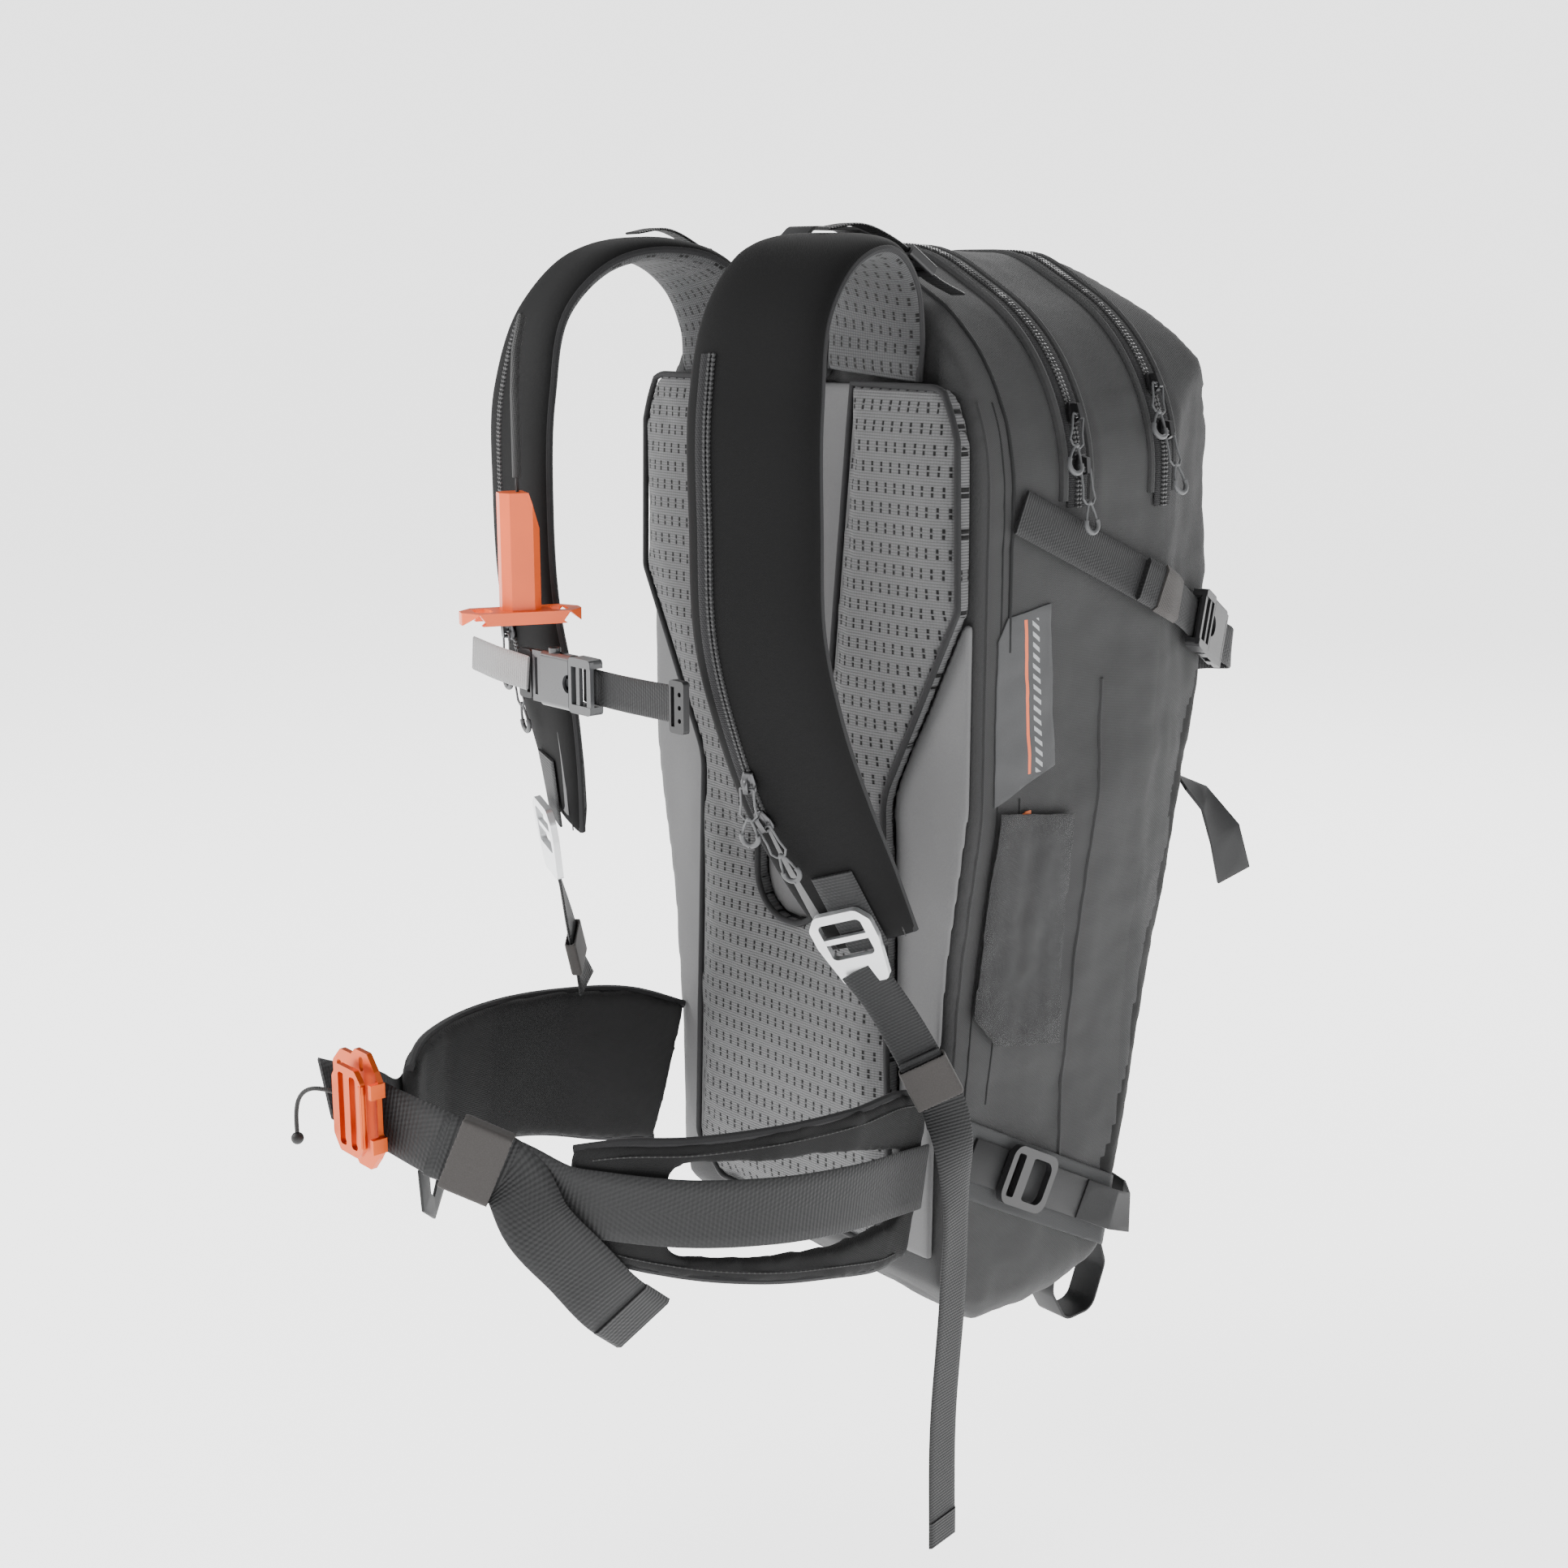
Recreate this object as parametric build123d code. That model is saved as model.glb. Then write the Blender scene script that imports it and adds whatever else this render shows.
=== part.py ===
"""Avalanche airbag backpack, about 30 litres, with an electric fan airbag.

Millimetres.  +X is the wearer's left, +Y points away from the wearer's back, +Z is up.
The pack is drawn with its back panel on y = 0 and its lowest corner on z = 0, and is then
moved so that the origin is the underside of the haul loop, the point it hangs from.
"""
from build123d import *
import math
import os

os.makedirs("parts", exist_ok=True)

# ---- pack body ----------------------------------------------------------------------
HEIGHT = 640.0            # lowest corner to crown
HALF_WIDTH = 140.0        # half the width at the shoulder blades
WAIST_HALF = 117.0        # half the width at the hip belt
DEPTH = 246.0             # back panel to the fullest part of the front
FOOT_DEPTH = 173.0        # back panel to the lower end of the front
FOOT_Z = 35.0             # height of the lower end of the front
BULGE_Z = 380.0           # height of the fullest part of the front
FABRIC = 3.0              # lined and padded fabric wall
ARCH_RADIUS = 120.0       # rounded upper corners, which both zips follow
ARCH_TURN = 62.0          # degrees that each of those corners turns
CROWN_RADIUS = 100.0
FRONT_CORNER = 45.0       # upright corners between side and front
GAP = 0.3                 # clear space between soft layers

# ---- back panel ---------------------------------------------------------------------
PAD_THICK = 14.0
PAD_TOP = HEIGHT - 74.0
PAD_WAIST_Z = 336.0       # where the mesh pad reaches its narrow part
PAD_WAIST_HALF = 79.0
PAD_BOTTOM = 62.0
CHANNEL_HALF_TOP = 52.0
CHANNEL_HALF = 29.0
CHANNEL_BOTTOM = 246.0
LINING_THICK = 5.0

# ---- straps and webbing -------------------------------------------------------------
STRAP_THICK = 15.0
STRAP_WIDTH = 74.0
WEB = 25.0                # shoulder, side and ski webbing
WEB_THICK = 1.6
STERNUM_WEB = 20.0
BELT_WEB = 38.0
WING_THICK = 10.0
STERNUM_Z = 405.0

# ---- zips ---------------------------------------------------------------------------
ZIP_WIDTH = 17.0
ZIP_THICK = 2.0
MAIN_ZIP_Y = 75.0
FRONT_ZIP_Y = 150.0
ZIP_FOOT = 12.0           # length of each zip below the start of its arch
SLIDER_LENGTH = 13.0
SLIDER_WIDTH = 8.6
BRIDGE_HEIGHT = 6.6
PIN = 1.3                 # wire of the zip pulls
PIN_CLEAR = 0.9
PIVOT_DROP = 2.0          # pull's pivot, below the middle of the slider
PIVOT_HEIGHT = 4.2

# ---- trigger ------------------------------------------------------------------------
HANDLE_TALL = 72.0
HANDLE_PLACE = (-60.0, -160.0, 436.0)
HANDLE_TURN = 68.0        # degrees from +X to the long side of its foot
CABLE = 2.0
HOUSING = 5.0
CABLE_GRIP = 38.0         # cable that stays inside the housing with the handle at rest

# ---- inside -------------------------------------------------------------------------
FAN_RADIUS = 58.0
FAN_CENTRE_Z = 395.0
FAN_FRONT = 13.0
FAN_BACK = 66.0
FAN_WALL = 2.5
SHAFT = 5.0
MOTOR_RADIUS = 17.0
IMPELLER_RADIUS = 46.0
BUTTON_RADIUS = 7.0
BUTTON_TRAVEL = 1.5

# ---- side-release buckles and hip buckle --------------------------------------------
BUCKLE_THICK = 9.0
BUCKLE_BODY = 26.0        # length of the socket
BUCKLE_SIDE = 5.5         # how far a buckle is wider than its webbing, each side
PRONG_WALL_BACK = 1.9     # back of the prong's wall, behind the buckle's mid plane
PRONG_WEB = 3.2           # webbing that the prong slides along, behind the same plane
HIP_PLATE = 3.0
HIP_PLATE_GAP = 4.4
HIP_BUCKLE = (-12.0, -306.0, 200.0)

HANG_POINT = Vector(0, 6, HEIGHT + 9)

ARCH_TAN = ARCH_RADIUS * math.tan(math.radians(ARCH_TURN / 2))
SHOULDER_SLOPE = math.tan(math.radians(90 - ARCH_TURN))
ARCH_VERTEX_Z = (HEIGHT + CROWN_RADIUS * (1 / math.cos(math.radians(90 - ARCH_TURN)) - 1)
                 - HALF_WIDTH * SHOULDER_SLOPE)
ARCH_Z = ARCH_VERTEX_Z - ARCH_TAN            # height of the arch's centre
ARCH_X = HALF_WIDTH - ARCH_RADIUS            # and its distance from the middle


def save(name, shape):
    """Write one piece in the finished frame."""
    export_step(Pos(-HANG_POINT.X, -HANG_POINT.Y, -HANG_POINT.Z) * shape, f"parts/{name}.step")


def box(x, y, z):
    """A box from three (low, high) pairs."""
    size = Box(x[1] - x[0], y[1] - y[0], z[1] - z[0])
    return Pos((x[0] + x[1]) / 2, (y[0] + y[1]) / 2, (z[0] + z[1]) / 2) * size


def mirrored(shape):
    return mirror(shape, about=Plane.YZ)


def pair(shape):
    """A piece and its mirror image, as two separate solids."""
    return Compound(children=[shape, mirrored(shape)])


def group(*shapes):
    return Compound(children=list(shapes))


def nearest_corner(face, point):
    return min(face.vertices(), key=lambda corner: math.hypot(corner.X - point[0], corner.Y - point[1]))


def rounded(points, radii):
    """A face with its own corner radius at each point; 0 leaves a corner sharp."""
    face = make_face(Polyline(*points, close=True))
    for point, radius in zip(points, radii):
        if radius:
            face = fillet([nearest_corner(face, point)], radius)
    return face


def grown(points, radii, grow):
    """The same rounded face, grown or shrunk all round."""
    face = make_face(Polyline(*points, close=True))
    if grow:
        face = offset(face, amount=grow, kind=Kind.INTERSECTION)
    for point, radius in zip(points, radii):
        face = fillet([nearest_corner(face, point)], radius)
    return face


# ---- the shape of the pack ----------------------------------------------------------
def side_face(grow):
    points = [(0, 45), (50, 0), (112, 0), (FOOT_DEPTH, FOOT_Z), (DEPTH, BULGE_Z),
              (DEPTH - 19, HEIGHT - 167), (DEPTH - 14, HEIGHT - 103), (DEPTH - 42, HEIGHT - 49),
              (FRONT_ZIP_Y + 23, HEIGHT - 5), (68, HEIGHT), (18, HEIGHT - 14), (0, HEIGHT - 50)]
    radii = [14, 14, 20, 16, 60, 40, 24, 22, 18, 30, 14, 14]
    return grown(points, [max(r + grow, 6) for r in radii], grow)


def front_face(grow):
    half = [(WAIST_HALF - 1, 0), (WAIST_HALF + 1, 150), (HALF_WIDTH - 15, 241),
            (HALF_WIDTH, PAD_WAIST_Z), (HALF_WIDTH, ARCH_VERTEX_Z)]
    radii = [30, 60, 60, 60, ARCH_RADIUS]
    crown = (0, ARCH_VERTEX_Z + HALF_WIDTH * SHOULDER_SLOPE)
    points = half + [crown] + [(-x, z) for x, z in reversed(half)]
    return grown(points, [r + grow for r in radii + [CROWN_RADIUS] + radii[::-1]], grow)


def plan_face(grow):
    half = [(HALF_WIDTH, -110), (HALF_WIDTH - 1, FRONT_ZIP_Y + 5), (HALF_WIDTH - 34, DEPTH)]
    radii = [6, 40, FRONT_CORNER]
    points = half + [(-x, y) for x, y in reversed(half)]
    return grown(points, [r + grow for r in radii + radii[::-1]], grow)


def body_form(grow):
    """The outside of the pack, grown or shrunk all round."""
    slope = (DEPTH - FOOT_DEPTH) / (BULGE_Z - FOOT_Z)
    drop = (BULGE_Z + 40) * math.hypot(1, slope)
    plan = plan_face(grow)
    upper = Pos(0, 0, BULGE_Z) * extrude(plan, amount=HEIGHT)
    lower = Pos(0, 0, BULGE_Z) * extrude(plan, amount=drop, dir=(0, -slope, -1))
    side = extrude(Plane.YZ * side_face(grow), amount=HALF_WIDTH * 2, both=True)
    front = extrude(Plane.XZ * front_face(grow), amount=DEPTH * 2, both=True)
    return (upper + lower) & side & front


def skin(start, thick, region):
    """A layer of the pack's own shape, from `start` outside it, kept inside a region."""
    return (body_form(start + thick) & region) - body_form(start)


def slanted(y0, z0, y1, z1, width, x):
    """An upright slab that shows as a slanted band from the side, between two x."""
    run = Vector(y1 - y0, z1 - z0)
    up = Vector(-run.Y, run.X).normalized() * (width / 2)
    corners = [(y0 + up.X, z0 + up.Y), (y1 + up.X, z1 + up.Y),
               (y1 - up.X, z1 - up.Y), (y0 - up.X, z0 - up.Y)]
    band = make_face(Polyline(*corners, close=True))
    return Pos(x[0], 0, 0) * extrude(Plane.YZ * band, amount=x[1] - x[0])


# ---- strips: straps, webbing, wings -------------------------------------------------
def strip_planes(stations):
    planes = []
    for index, (point, facing, width) in enumerate(stations):
        before = Vector(*stations[max(index - 1, 0)][0])
        after = Vector(*stations[min(index + 1, len(stations) - 1)][0])
        along = (after - before).normalized()
        across = Vector(*facing).cross(along).normalized()
        planes.append(Plane(origin=point, x_dir=across, z_dir=along))
    return planes


def strip(stations, thick):
    """A strip through stations of (point, the way it faces, width)."""
    sections = [plane * Rectangle(station[2], thick)
                for plane, station in zip(strip_planes(stations), stations)]
    return loft(sections, ruled=True)


def lifted(stations, height, width=None):
    """The same stations, moved the way they face."""
    moved = []
    for plane, (point, facing, old) in zip(strip_planes(stations), stations):
        out = plane.z_dir.cross(plane.x_dir)
        place = Vector(*point) + out * height
        moved.append(((place.X, place.Y, place.Z), facing, width or old))
    return moved


def across_x(stations):
    return [((-p[0], p[1], p[2]), (-f[0], f[1], f[2]), w) for p, f, w in stations]


def band(points, radius, thick, width, x):
    """Webbing bent in an upright plane: a path of (y, z), drawn at x."""
    path = FilletPolyline(*points, radius=radius)
    flat = trace(path, line_width=thick)
    return Pos(x - width / 2, 0, 0) * extrude(Plane.YZ * flat, amount=width)


def tube(points, radii, diameter):
    """A round cord or wire: straight runs joined by arcs."""
    path = FilletPolyline(*points, radius=radii)
    start = Plane(origin=path @ 0, z_dir=path % 0)
    return sweep(start * Circle(diameter / 2), path=path)


def strap_stations(side):
    """The padded shoulder strap, from the yoke over the shoulder and down the front."""
    top = HEIGHT
    out = 0.40 if side > 0 else 0.18
    rows = [((64, -8, PAD_TOP + 5), (0, 1, 0), 72), ((66, -9, top - 42), (0, 1, 0.1), 72),
            ((71, -22, top - 17), (0, 0.8, 0.7), 73), ((79, -50, top - 3), (0, 0.1, 1), 74),
            ((88, -86, top - 9), (0.15, -0.5, 0.9), STRAP_WIDTH),
            ((95, -112, top - 34), (0.28, -0.9, 0.4), STRAP_WIDTH),
            ((100, -125, top - 80), (out, -0.9, 0), STRAP_WIDTH),
            ((102, -127, top - 140), (out, -0.9, 0), STRAP_WIDTH),
            ((102, -124, top - 200), (out, -0.9, 0), STRAP_WIDTH)]
    if side > 0:
        rows += [((102, -111, 395), (out, -0.9, -0.2), STRAP_WIDTH),
                 ((103, -90, 345), (0.45, -0.9, -0.3), 72),
                 ((107, -68, 303), (0.5, -0.85, -0.4), 64),
                 ((113, -51, 269), (0.5, -0.85, -0.4), 54)]
        return rows
    rows += [((101, -116, 395), (out, -0.9, -0.1), STRAP_WIDTH),
             ((101, -106, 348), (0.26, -0.9, -0.1), 66),
             ((104, -97, 306), (0.36, -0.9, -0.1), 54)]
    return across_x(rows)


def strap_frame(side, z, height):
    """A plane on the front run of a strap at height z: x across, y down, z outward."""
    front = strap_stations(side)[6:]
    planes = strip_planes(front)
    for index in range(len(front) - 1):
        upper, lower = front[index][0], front[index + 1][0]
        if upper[2] >= z >= lower[2]:
            share = (upper[2] - z) / (upper[2] - lower[2])
            here = Vector(*upper) * (1 - share) + Vector(*lower) * share
            along = planes[index].z_dir * (1 - share) + planes[index + 1].z_dir * share
            across = planes[index].x_dir * (1 - share) + planes[index + 1].x_dir * share
            out = along.cross(across).normalized()
            return Plane(origin=here + out * height, x_dir=across, z_dir=out)
    raise ValueError("no strap at this height")


def wing_stations():
    """The padded hip wing on the left, from the lumbar pad round to its front end."""
    return [((112, -18, 121), (1, 0.30, 0), 92), ((125, -50, 130), (1, 0.22, 0), 100),
            ((136, -95, 139), (1, 0, 0), 93), ((133, -145, 146), (1, -0.35, 0), 86),
            ((115, -190, 152), (0.9, -0.75, 0), 76), ((92, -219, 157), (0.75, -0.9, 0), 66),
            ((76, -234, 160), (0.7, -0.9, 0), 52)]


def belt_stations():
    """The hip webbing on the left: outside the wing, then free to the buckle."""
    along_wing = lifted(wing_stations(), WING_THICK / 2 + WEB_THICK / 2 + 1.6, BELT_WEB)
    end = ((HIP_BUCKLE[0] + 4, HIP_BUCKLE[1] + 8, HIP_BUCKLE[2] - 2), (0.15, -1, 0), BELT_WEB)
    return along_wing + [*belt_keeper_run(), end]


def belt_keeper_run():
    """The straight stretch of hip webbing that its keeper sits on."""
    return [((61, -257, 172), (0.66, -0.75, 0), BELT_WEB), ((33, -284, 188), (0.62, -0.78, 0), BELT_WEB)]


def run_frame(run, lift):
    """A plane in the middle of a straight stretch: x across it, z along it."""
    planes = strip_planes(run)
    middle = (planes[0].origin + planes[1].origin) * 0.5
    out = planes[0].z_dir.cross(planes[0].x_dir) + planes[1].z_dir.cross(planes[1].x_dir)
    return Plane(origin=middle + out.normalized() * lift, x_dir=planes[0].x_dir + planes[1].x_dir,
                 z_dir=planes[0].z_dir)


# ---- pack, back and front -----------------------------------------------------------
def pack_shell():
    return body_form(0) - body_form(-FABRIC)


def channel_face(shrink):
    top = PAD_TOP + 1
    half = [(CHANNEL_HALF_TOP - shrink, top), (CHANNEL_HALF - shrink, PAD_WAIST_Z),
            (CHANNEL_HALF - shrink, CHANNEL_BOTTOM + shrink)]
    points = half + [(-x, z) for x, z in reversed(half)]
    round_end = CHANNEL_HALF - shrink - 2
    return rounded(points, [0, 60, round_end, round_end, 60, 0])


def pad_outline():
    half = [(HALF_WIDTH - 8, PAD_TOP), (HALF_WIDTH - 5, PAD_TOP - 118),
            (PAD_WAIST_HALF, PAD_WAIST_Z), (PAD_WAIST_HALF + 9, PAD_BOTTOM + 22),
            (PAD_WAIST_HALF - 14, PAD_BOTTOM)]
    points = half + [(-x, z) for x, z in reversed(half)]
    radii = [20, 10, 40, 12, 12]
    return rounded(points, radii + radii[::-1])


def on_back(face, thick):
    """A layer lying on the back panel."""
    return Pos(0, -GAP, 0) * extrude(Plane.XZ * face, amount=thick)


def inside_outline(shape, shrink):
    return shape & extrude(Plane.XZ * front_face(-shrink), amount=HALF_WIDTH, both=True)


def back_mesh_pad():
    top = Pos(0, PAD_TOP) * Rectangle(HALF_WIDTH * 4, 4, align=(Align.CENTER, Align.MIN))
    face = pad_outline() - channel_face(0) - top
    return inside_outline(on_back(face, PAD_THICK), 3)


def back_lining_panels():
    """The plain panels: one in the centre channel and one at each side of the pad."""
    cut = Pos(0, PAD_TOP) * Rectangle(HALF_WIDTH * 4, 4, align=(Align.CENTER, Align.MIN))
    centre = on_back(channel_face(GAP + 0.2) - cut, LINING_THICK)
    sides = Rectangle(HALF_WIDTH * 4, PAD_TOP - 125 - PAD_BOTTOM, align=(Align.CENTER, Align.MIN))
    around = Pos(0, PAD_BOTTOM) * sides - offset(pad_outline(), amount=GAP + 0.2)
    flanks = inside_outline(on_back(around, LINING_THICK), 4)
    return group(centre, *flanks.solids())


def front_panel():
    region = box((-104, 104), (100, DEPTH + 60), (FOOT_Z + 3, BULGE_Z + 6))
    return skin(GAP, 2.2, region).solids().sort_by(SortBy.VOLUME)[-1]


def yoke():
    body = box((-25, 25), (-GAP - 11, -GAP), (PAD_TOP + 1, HEIGHT - 36))
    return fillet(body.edges().filter_by(Axis.Y), 5)


def frame_sheet():
    body = box((-98, 98), (FABRIC + 1, FABRIC + 3), (72, HEIGHT - 95))
    return fillet(body.edges().filter_by(Axis.Y), 30)


def frame_stays():
    stay = box((53, 71), (FABRIC + 3.4, FABRIC + 6.4), (78, HEIGHT - 102))
    return pair(fillet(stay.edges().filter_by(Axis.Y), 8))


def airbag_bundle():
    body = box((-94, 94), (FAN_FRONT + 2, MAIN_ZIP_Y - 14), (HEIGHT - 158, HEIGHT - 56))
    return fillet(body.edges(), 14)


# ---- fan ----------------------------------------------------------------------------
def along_y(radius, low, high, x=0.0, z=FAN_CENTRE_Z):
    return Pos(x, (low + high) / 2, z) * Rot(90, 0, 0) * Cylinder(radius, high - low)


def fan_housing():
    """A drum with an inlet in front, a duct up to the bag and a seat for the motor."""
    duct_top = HEIGHT - 162
    drum = along_y(FAN_RADIUS, FAN_FRONT, FAN_BACK)
    duct = box((12, 48), (FAN_FRONT, FAN_BACK), (FAN_CENTRE_Z, duct_top))
    hollow = along_y(FAN_RADIUS - FAN_WALL, FAN_FRONT + FAN_WALL, FAN_BACK - FAN_WALL)
    duct_bore = box((12 + FAN_WALL, 48 - FAN_WALL), (FAN_FRONT + FAN_WALL, FAN_BACK - FAN_WALL),
                    (FAN_CENTRE_Z, duct_top + 1))
    inlet = along_y(34, FAN_FRONT - 1, FAN_FRONT + FAN_WALL + 1)
    return (drum + duct) - hollow - duct_bore - inlet


def motor_face():
    return FAN_BACK - FAN_WALL - 24


def fan_motor():
    body = along_y(MOTOR_RADIUS, motor_face(), FAN_BACK - FAN_WALL)
    bore = along_y(SHAFT / 2 + GAP, motor_face() - 1, FAN_BACK - FAN_WALL - 3)
    return body - bore


def fan_shaft():
    return along_y(SHAFT / 2, FAN_FRONT + 5, FAN_BACK - FAN_WALL - 4)


def impeller():
    low, high = FAN_FRONT + 6, motor_face() - 2
    disc = along_y(IMPELLER_RADIUS, high - 2.5, high)
    hub = along_y(9, low, high)
    wheel = disc + hub
    reach = IMPELLER_RADIUS - 7
    blade = Pos(7 + reach / 2, (low + high) / 2, 0) * Box(reach, high - low, 1.8)
    for turn in range(9):
        wheel += Pos(0, 0, FAN_CENTRE_Z) * Rot(0, turn * 40, 0) * blade
    return wheel - along_y(SHAFT / 2, low - 1, high + 1)


def fan_cover():
    """The finger guard over the inlet."""
    ring = along_y(38, FAN_FRONT - 2.6, FAN_FRONT - GAP) - along_y(31, FAN_FRONT - 3, FAN_FRONT)
    bars = ring
    for z in (-18, 0, 18):
        bars += box((-33, 33), (FAN_FRONT - 2.6, FAN_FRONT - GAP), (FAN_CENTRE_Z + z - 1.2, FAN_CENTRE_Z + z + 1.2))
    return bars


def capacitor_pack():
    case = box((-92, -20), (14, 42), (208, 322))
    case = fillet(case.edges(), 5)
    for step in range(4):
        groove = box((-93, -19), (41, 44), (228 + step * 24, 231 + step * 24))
        case -= groove
    return case


CONTROL_BACK = 40.0
BUTTON_PLACE = (56.0, CONTROL_BACK, 290.0)


def control_box():
    case = fillet(box((22, 92), (14, CONTROL_BACK), (216, 322)).edges(), 4)
    well = along_y(BUTTON_RADIUS + GAP, CONTROL_BACK - 7, CONTROL_BACK + 1, BUTTON_PLACE[0], BUTTON_PLACE[2])
    return case - well


def power_button():
    return along_y(BUTTON_RADIUS, CONTROL_BACK - 5, CONTROL_BACK + BUTTON_TRAVEL + 0.5,
                   BUTTON_PLACE[0], BUTTON_PLACE[2])


# ---- zips, their sliders and pulls --------------------------------------------------
def zip_arch(y):
    foot = ARCH_Z - ZIP_FOOT
    region = box((-HALF_WIDTH * 2, HALF_WIDTH * 2), (y - ZIP_WIDTH / 2, y + ZIP_WIDTH / 2), (foot, HEIGHT * 2))
    return skin(GAP, ZIP_THICK, region)


def arch_frame(y, degrees, height):
    """A plane on the left arch: x up along the zip, y across it, z outward."""
    turn = math.radians(degrees)
    radius = ARCH_RADIUS + GAP + ZIP_THICK + height
    origin = (ARCH_X + radius * math.cos(turn), y, ARCH_Z + radius * math.sin(turn))
    return Plane(origin=origin, x_dir=(-math.sin(turn), 0, math.cos(turn)),
                 z_dir=(math.cos(turn), 0, math.sin(turn)))


def slider():
    """A zip slider lying on its zip, nose up, with the bridge that holds the pull."""
    half, wide = SLIDER_LENGTH / 2, SLIDER_WIDTH / 2
    outline = [(half, wide * 0.62), (0, wide), (-half * 0.7, wide), (-half, wide * 0.5),
               (-half, -wide * 0.5), (-half * 0.7, -wide), (0, -wide), (half, -wide * 0.62)]
    plate = extrude(rounded(outline, [1.2] * 8), amount=2.2)
    bridge = [(half - 0.8, 2), (half - 2.4, BRIDGE_HEIGHT), (-half + 2.4, BRIDGE_HEIGHT), (-half + 0.8, 2)]
    side = make_face(Polyline(*bridge, close=True))
    arch = Pos(0, 1.5, 0) * extrude(Plane.XZ * side, amount=3.0)
    hole = Pos(-PIVOT_DROP, 0, PIVOT_HEIGHT) * Rot(90, 0, 0) * Cylinder(PIN / 2 + PIN_CLEAR, 8)
    return plate + arch - hole


def pull():
    """A wire bail with a cord loop and a moulded end; its pivot is the origin, x is up."""
    w = 3.9
    bail = FilletPolyline((0, -w), (0, w), (-10, w), (-16, w + 1), (-19, 2.6), (-19, -2.6), (-16, -w - 1),
                          (-10, -w), radius=0.9, close=True)
    wire = sweep(Plane(origin=bail @ 0, z_dir=bail % 0) * Circle(PIN / 2), path=bail)
    loop = [(-18.4, -0.9), (-24, -3.2), (-35, -6), (-35, 6), (-24, 3.2), (-18.4, 0.9)]
    cord = tube([(*p, 0) for p in loop], [3, 5.4, 5.4, 3], 1.5)
    end_path = FilletPolyline((-28, -4.4), (-35, -6), (-35, 6), (-28, 4.4), radius=5.0)
    end = sweep(Plane(origin=end_path @ 0, z_dir=end_path % 0) * Circle(1.45), path=end_path)
    knot = Pos(-18.6, 0, 0) * Sphere(1.5)
    return wire + cord + end + knot


# (zip, degrees up the arch)
SLIDERS = {
    "main_zip_slider_upper": (MAIN_ZIP_Y, 20.5),
    "main_zip_slider_lower": (MAIN_ZIP_Y, 7.0),
    "front_zip_slider_upper": (FRONT_ZIP_Y, 27.5),
    "front_zip_slider_lower": (FRONT_ZIP_Y, 14.5),
}
PULL_SWING = {"upper": 24.0, "lower": 0.0}   # the upper pull lies beside the lower one
PULL_LEAN = {"upper": 0.0, "lower": 4.0}     # degrees off the surface at rest


def pull_plane(frame, end):
    """The pull's own plane: turned aside in the surface and leaning off it."""
    pivot = frame.origin + frame.x_dir * -PIVOT_DROP + frame.z_dir * PIVOT_HEIGHT
    aside = math.radians(PULL_SWING[end])
    up = frame.x_dir * math.cos(aside) + frame.y_dir * math.sin(-aside)
    pin = frame.z_dir.cross(up)
    lean = math.radians(PULL_LEAN[end])
    up = up * math.cos(lean) - frame.z_dir * math.sin(lean)
    return Plane(origin=pivot, x_dir=up, z_dir=up.cross(pin))


# ---- side-release buckles -----------------------------------------------------------
def socket(web):
    """Socket half: x runs from its webbing end (0) to its open end."""
    wide = web + BUCKLE_SIDE * 2
    ladder = 11.0
    body = box((ladder, ladder + BUCKLE_BODY), (-wide / 2, wide / 2), (-BUCKLE_THICK / 2, BUCKLE_THICK / 2))
    body = fillet(body.edges().filter_by(Axis.X), 3)
    cavity = box((ladder + 3, 99), (-wide / 2 + 2.4, wide / 2 - 2.4), (-BUCKLE_THICK / 2 + 1.8, BUCKLE_THICK / 2 - 1.8))
    windows = box((ladder + 8, ladder + 18), (-wide, wide), (-1.9, 1.9))
    waist = Pos(ladder + BUCKLE_BODY, 0, 0) * Cylinder(web * 0.26, 20)
    frame = box((0, ladder + 0.5), (-wide / 2 + 1, wide / 2 - 1), (-2, 2))
    slots = box((2.2, 4.8), (-web / 2 - 0.6, web / 2 + 0.6), (-5, 5))
    slots += box((7.4, ladder), (-web / 2 - 0.6, web / 2 + 0.6), (-5, 5))
    return body - cavity - windows - waist + (frame - slots)


def prong(web):
    """Prong half in the same frame as its socket, with its ladder beyond the open end."""
    wide = web + BUCKLE_SIDE * 2
    start = 11.0 + BUCKLE_BODY
    rail = box((start + 0.4, start + 20), (-wide / 2, wide / 2), (-BUCKLE_THICK / 2, BUCKLE_THICK / 2))
    rail = fillet(rail.edges().filter_by(Axis.Z), 2.5)
    passage = box((start + 3, 99), (-web / 2 - 0.6, web / 2 + 0.6), (-9, 9))
    passage += box((start - 1, start + 4), (-web / 2 - 0.6, web / 2 + 0.6), (-9, -PRONG_WALL_BACK))
    bars = box((start + 7, start + 10), (-wide / 2 + 1, wide / 2 - 1), (1.6, BUCKLE_THICK / 2 - 0.4))
    bars += box((start + 16.5, start + 20), (-wide / 2 + 1, wide / 2 - 1), (1.6, BUCKLE_THICK / 2 - 0.4))
    bars += box((start + 12, start + 14.5), (-wide / 2 + 1, wide / 2 - 1), (-1.6, 0.8))
    tongue = box((start - 12, start + 1), (-2.2, 2.2), (-1.8, 1.8))
    arm_out = wide / 2 - 3.6
    arms = box((start - 16, start + 1), (arm_out - 2.6, arm_out), (-1.8, 1.8))
    arms += box((start - 16, start + 1), (-arm_out, -arm_out + 2.6), (-1.8, 1.8))
    return rail - passage + bars + tongue + arms


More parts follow.
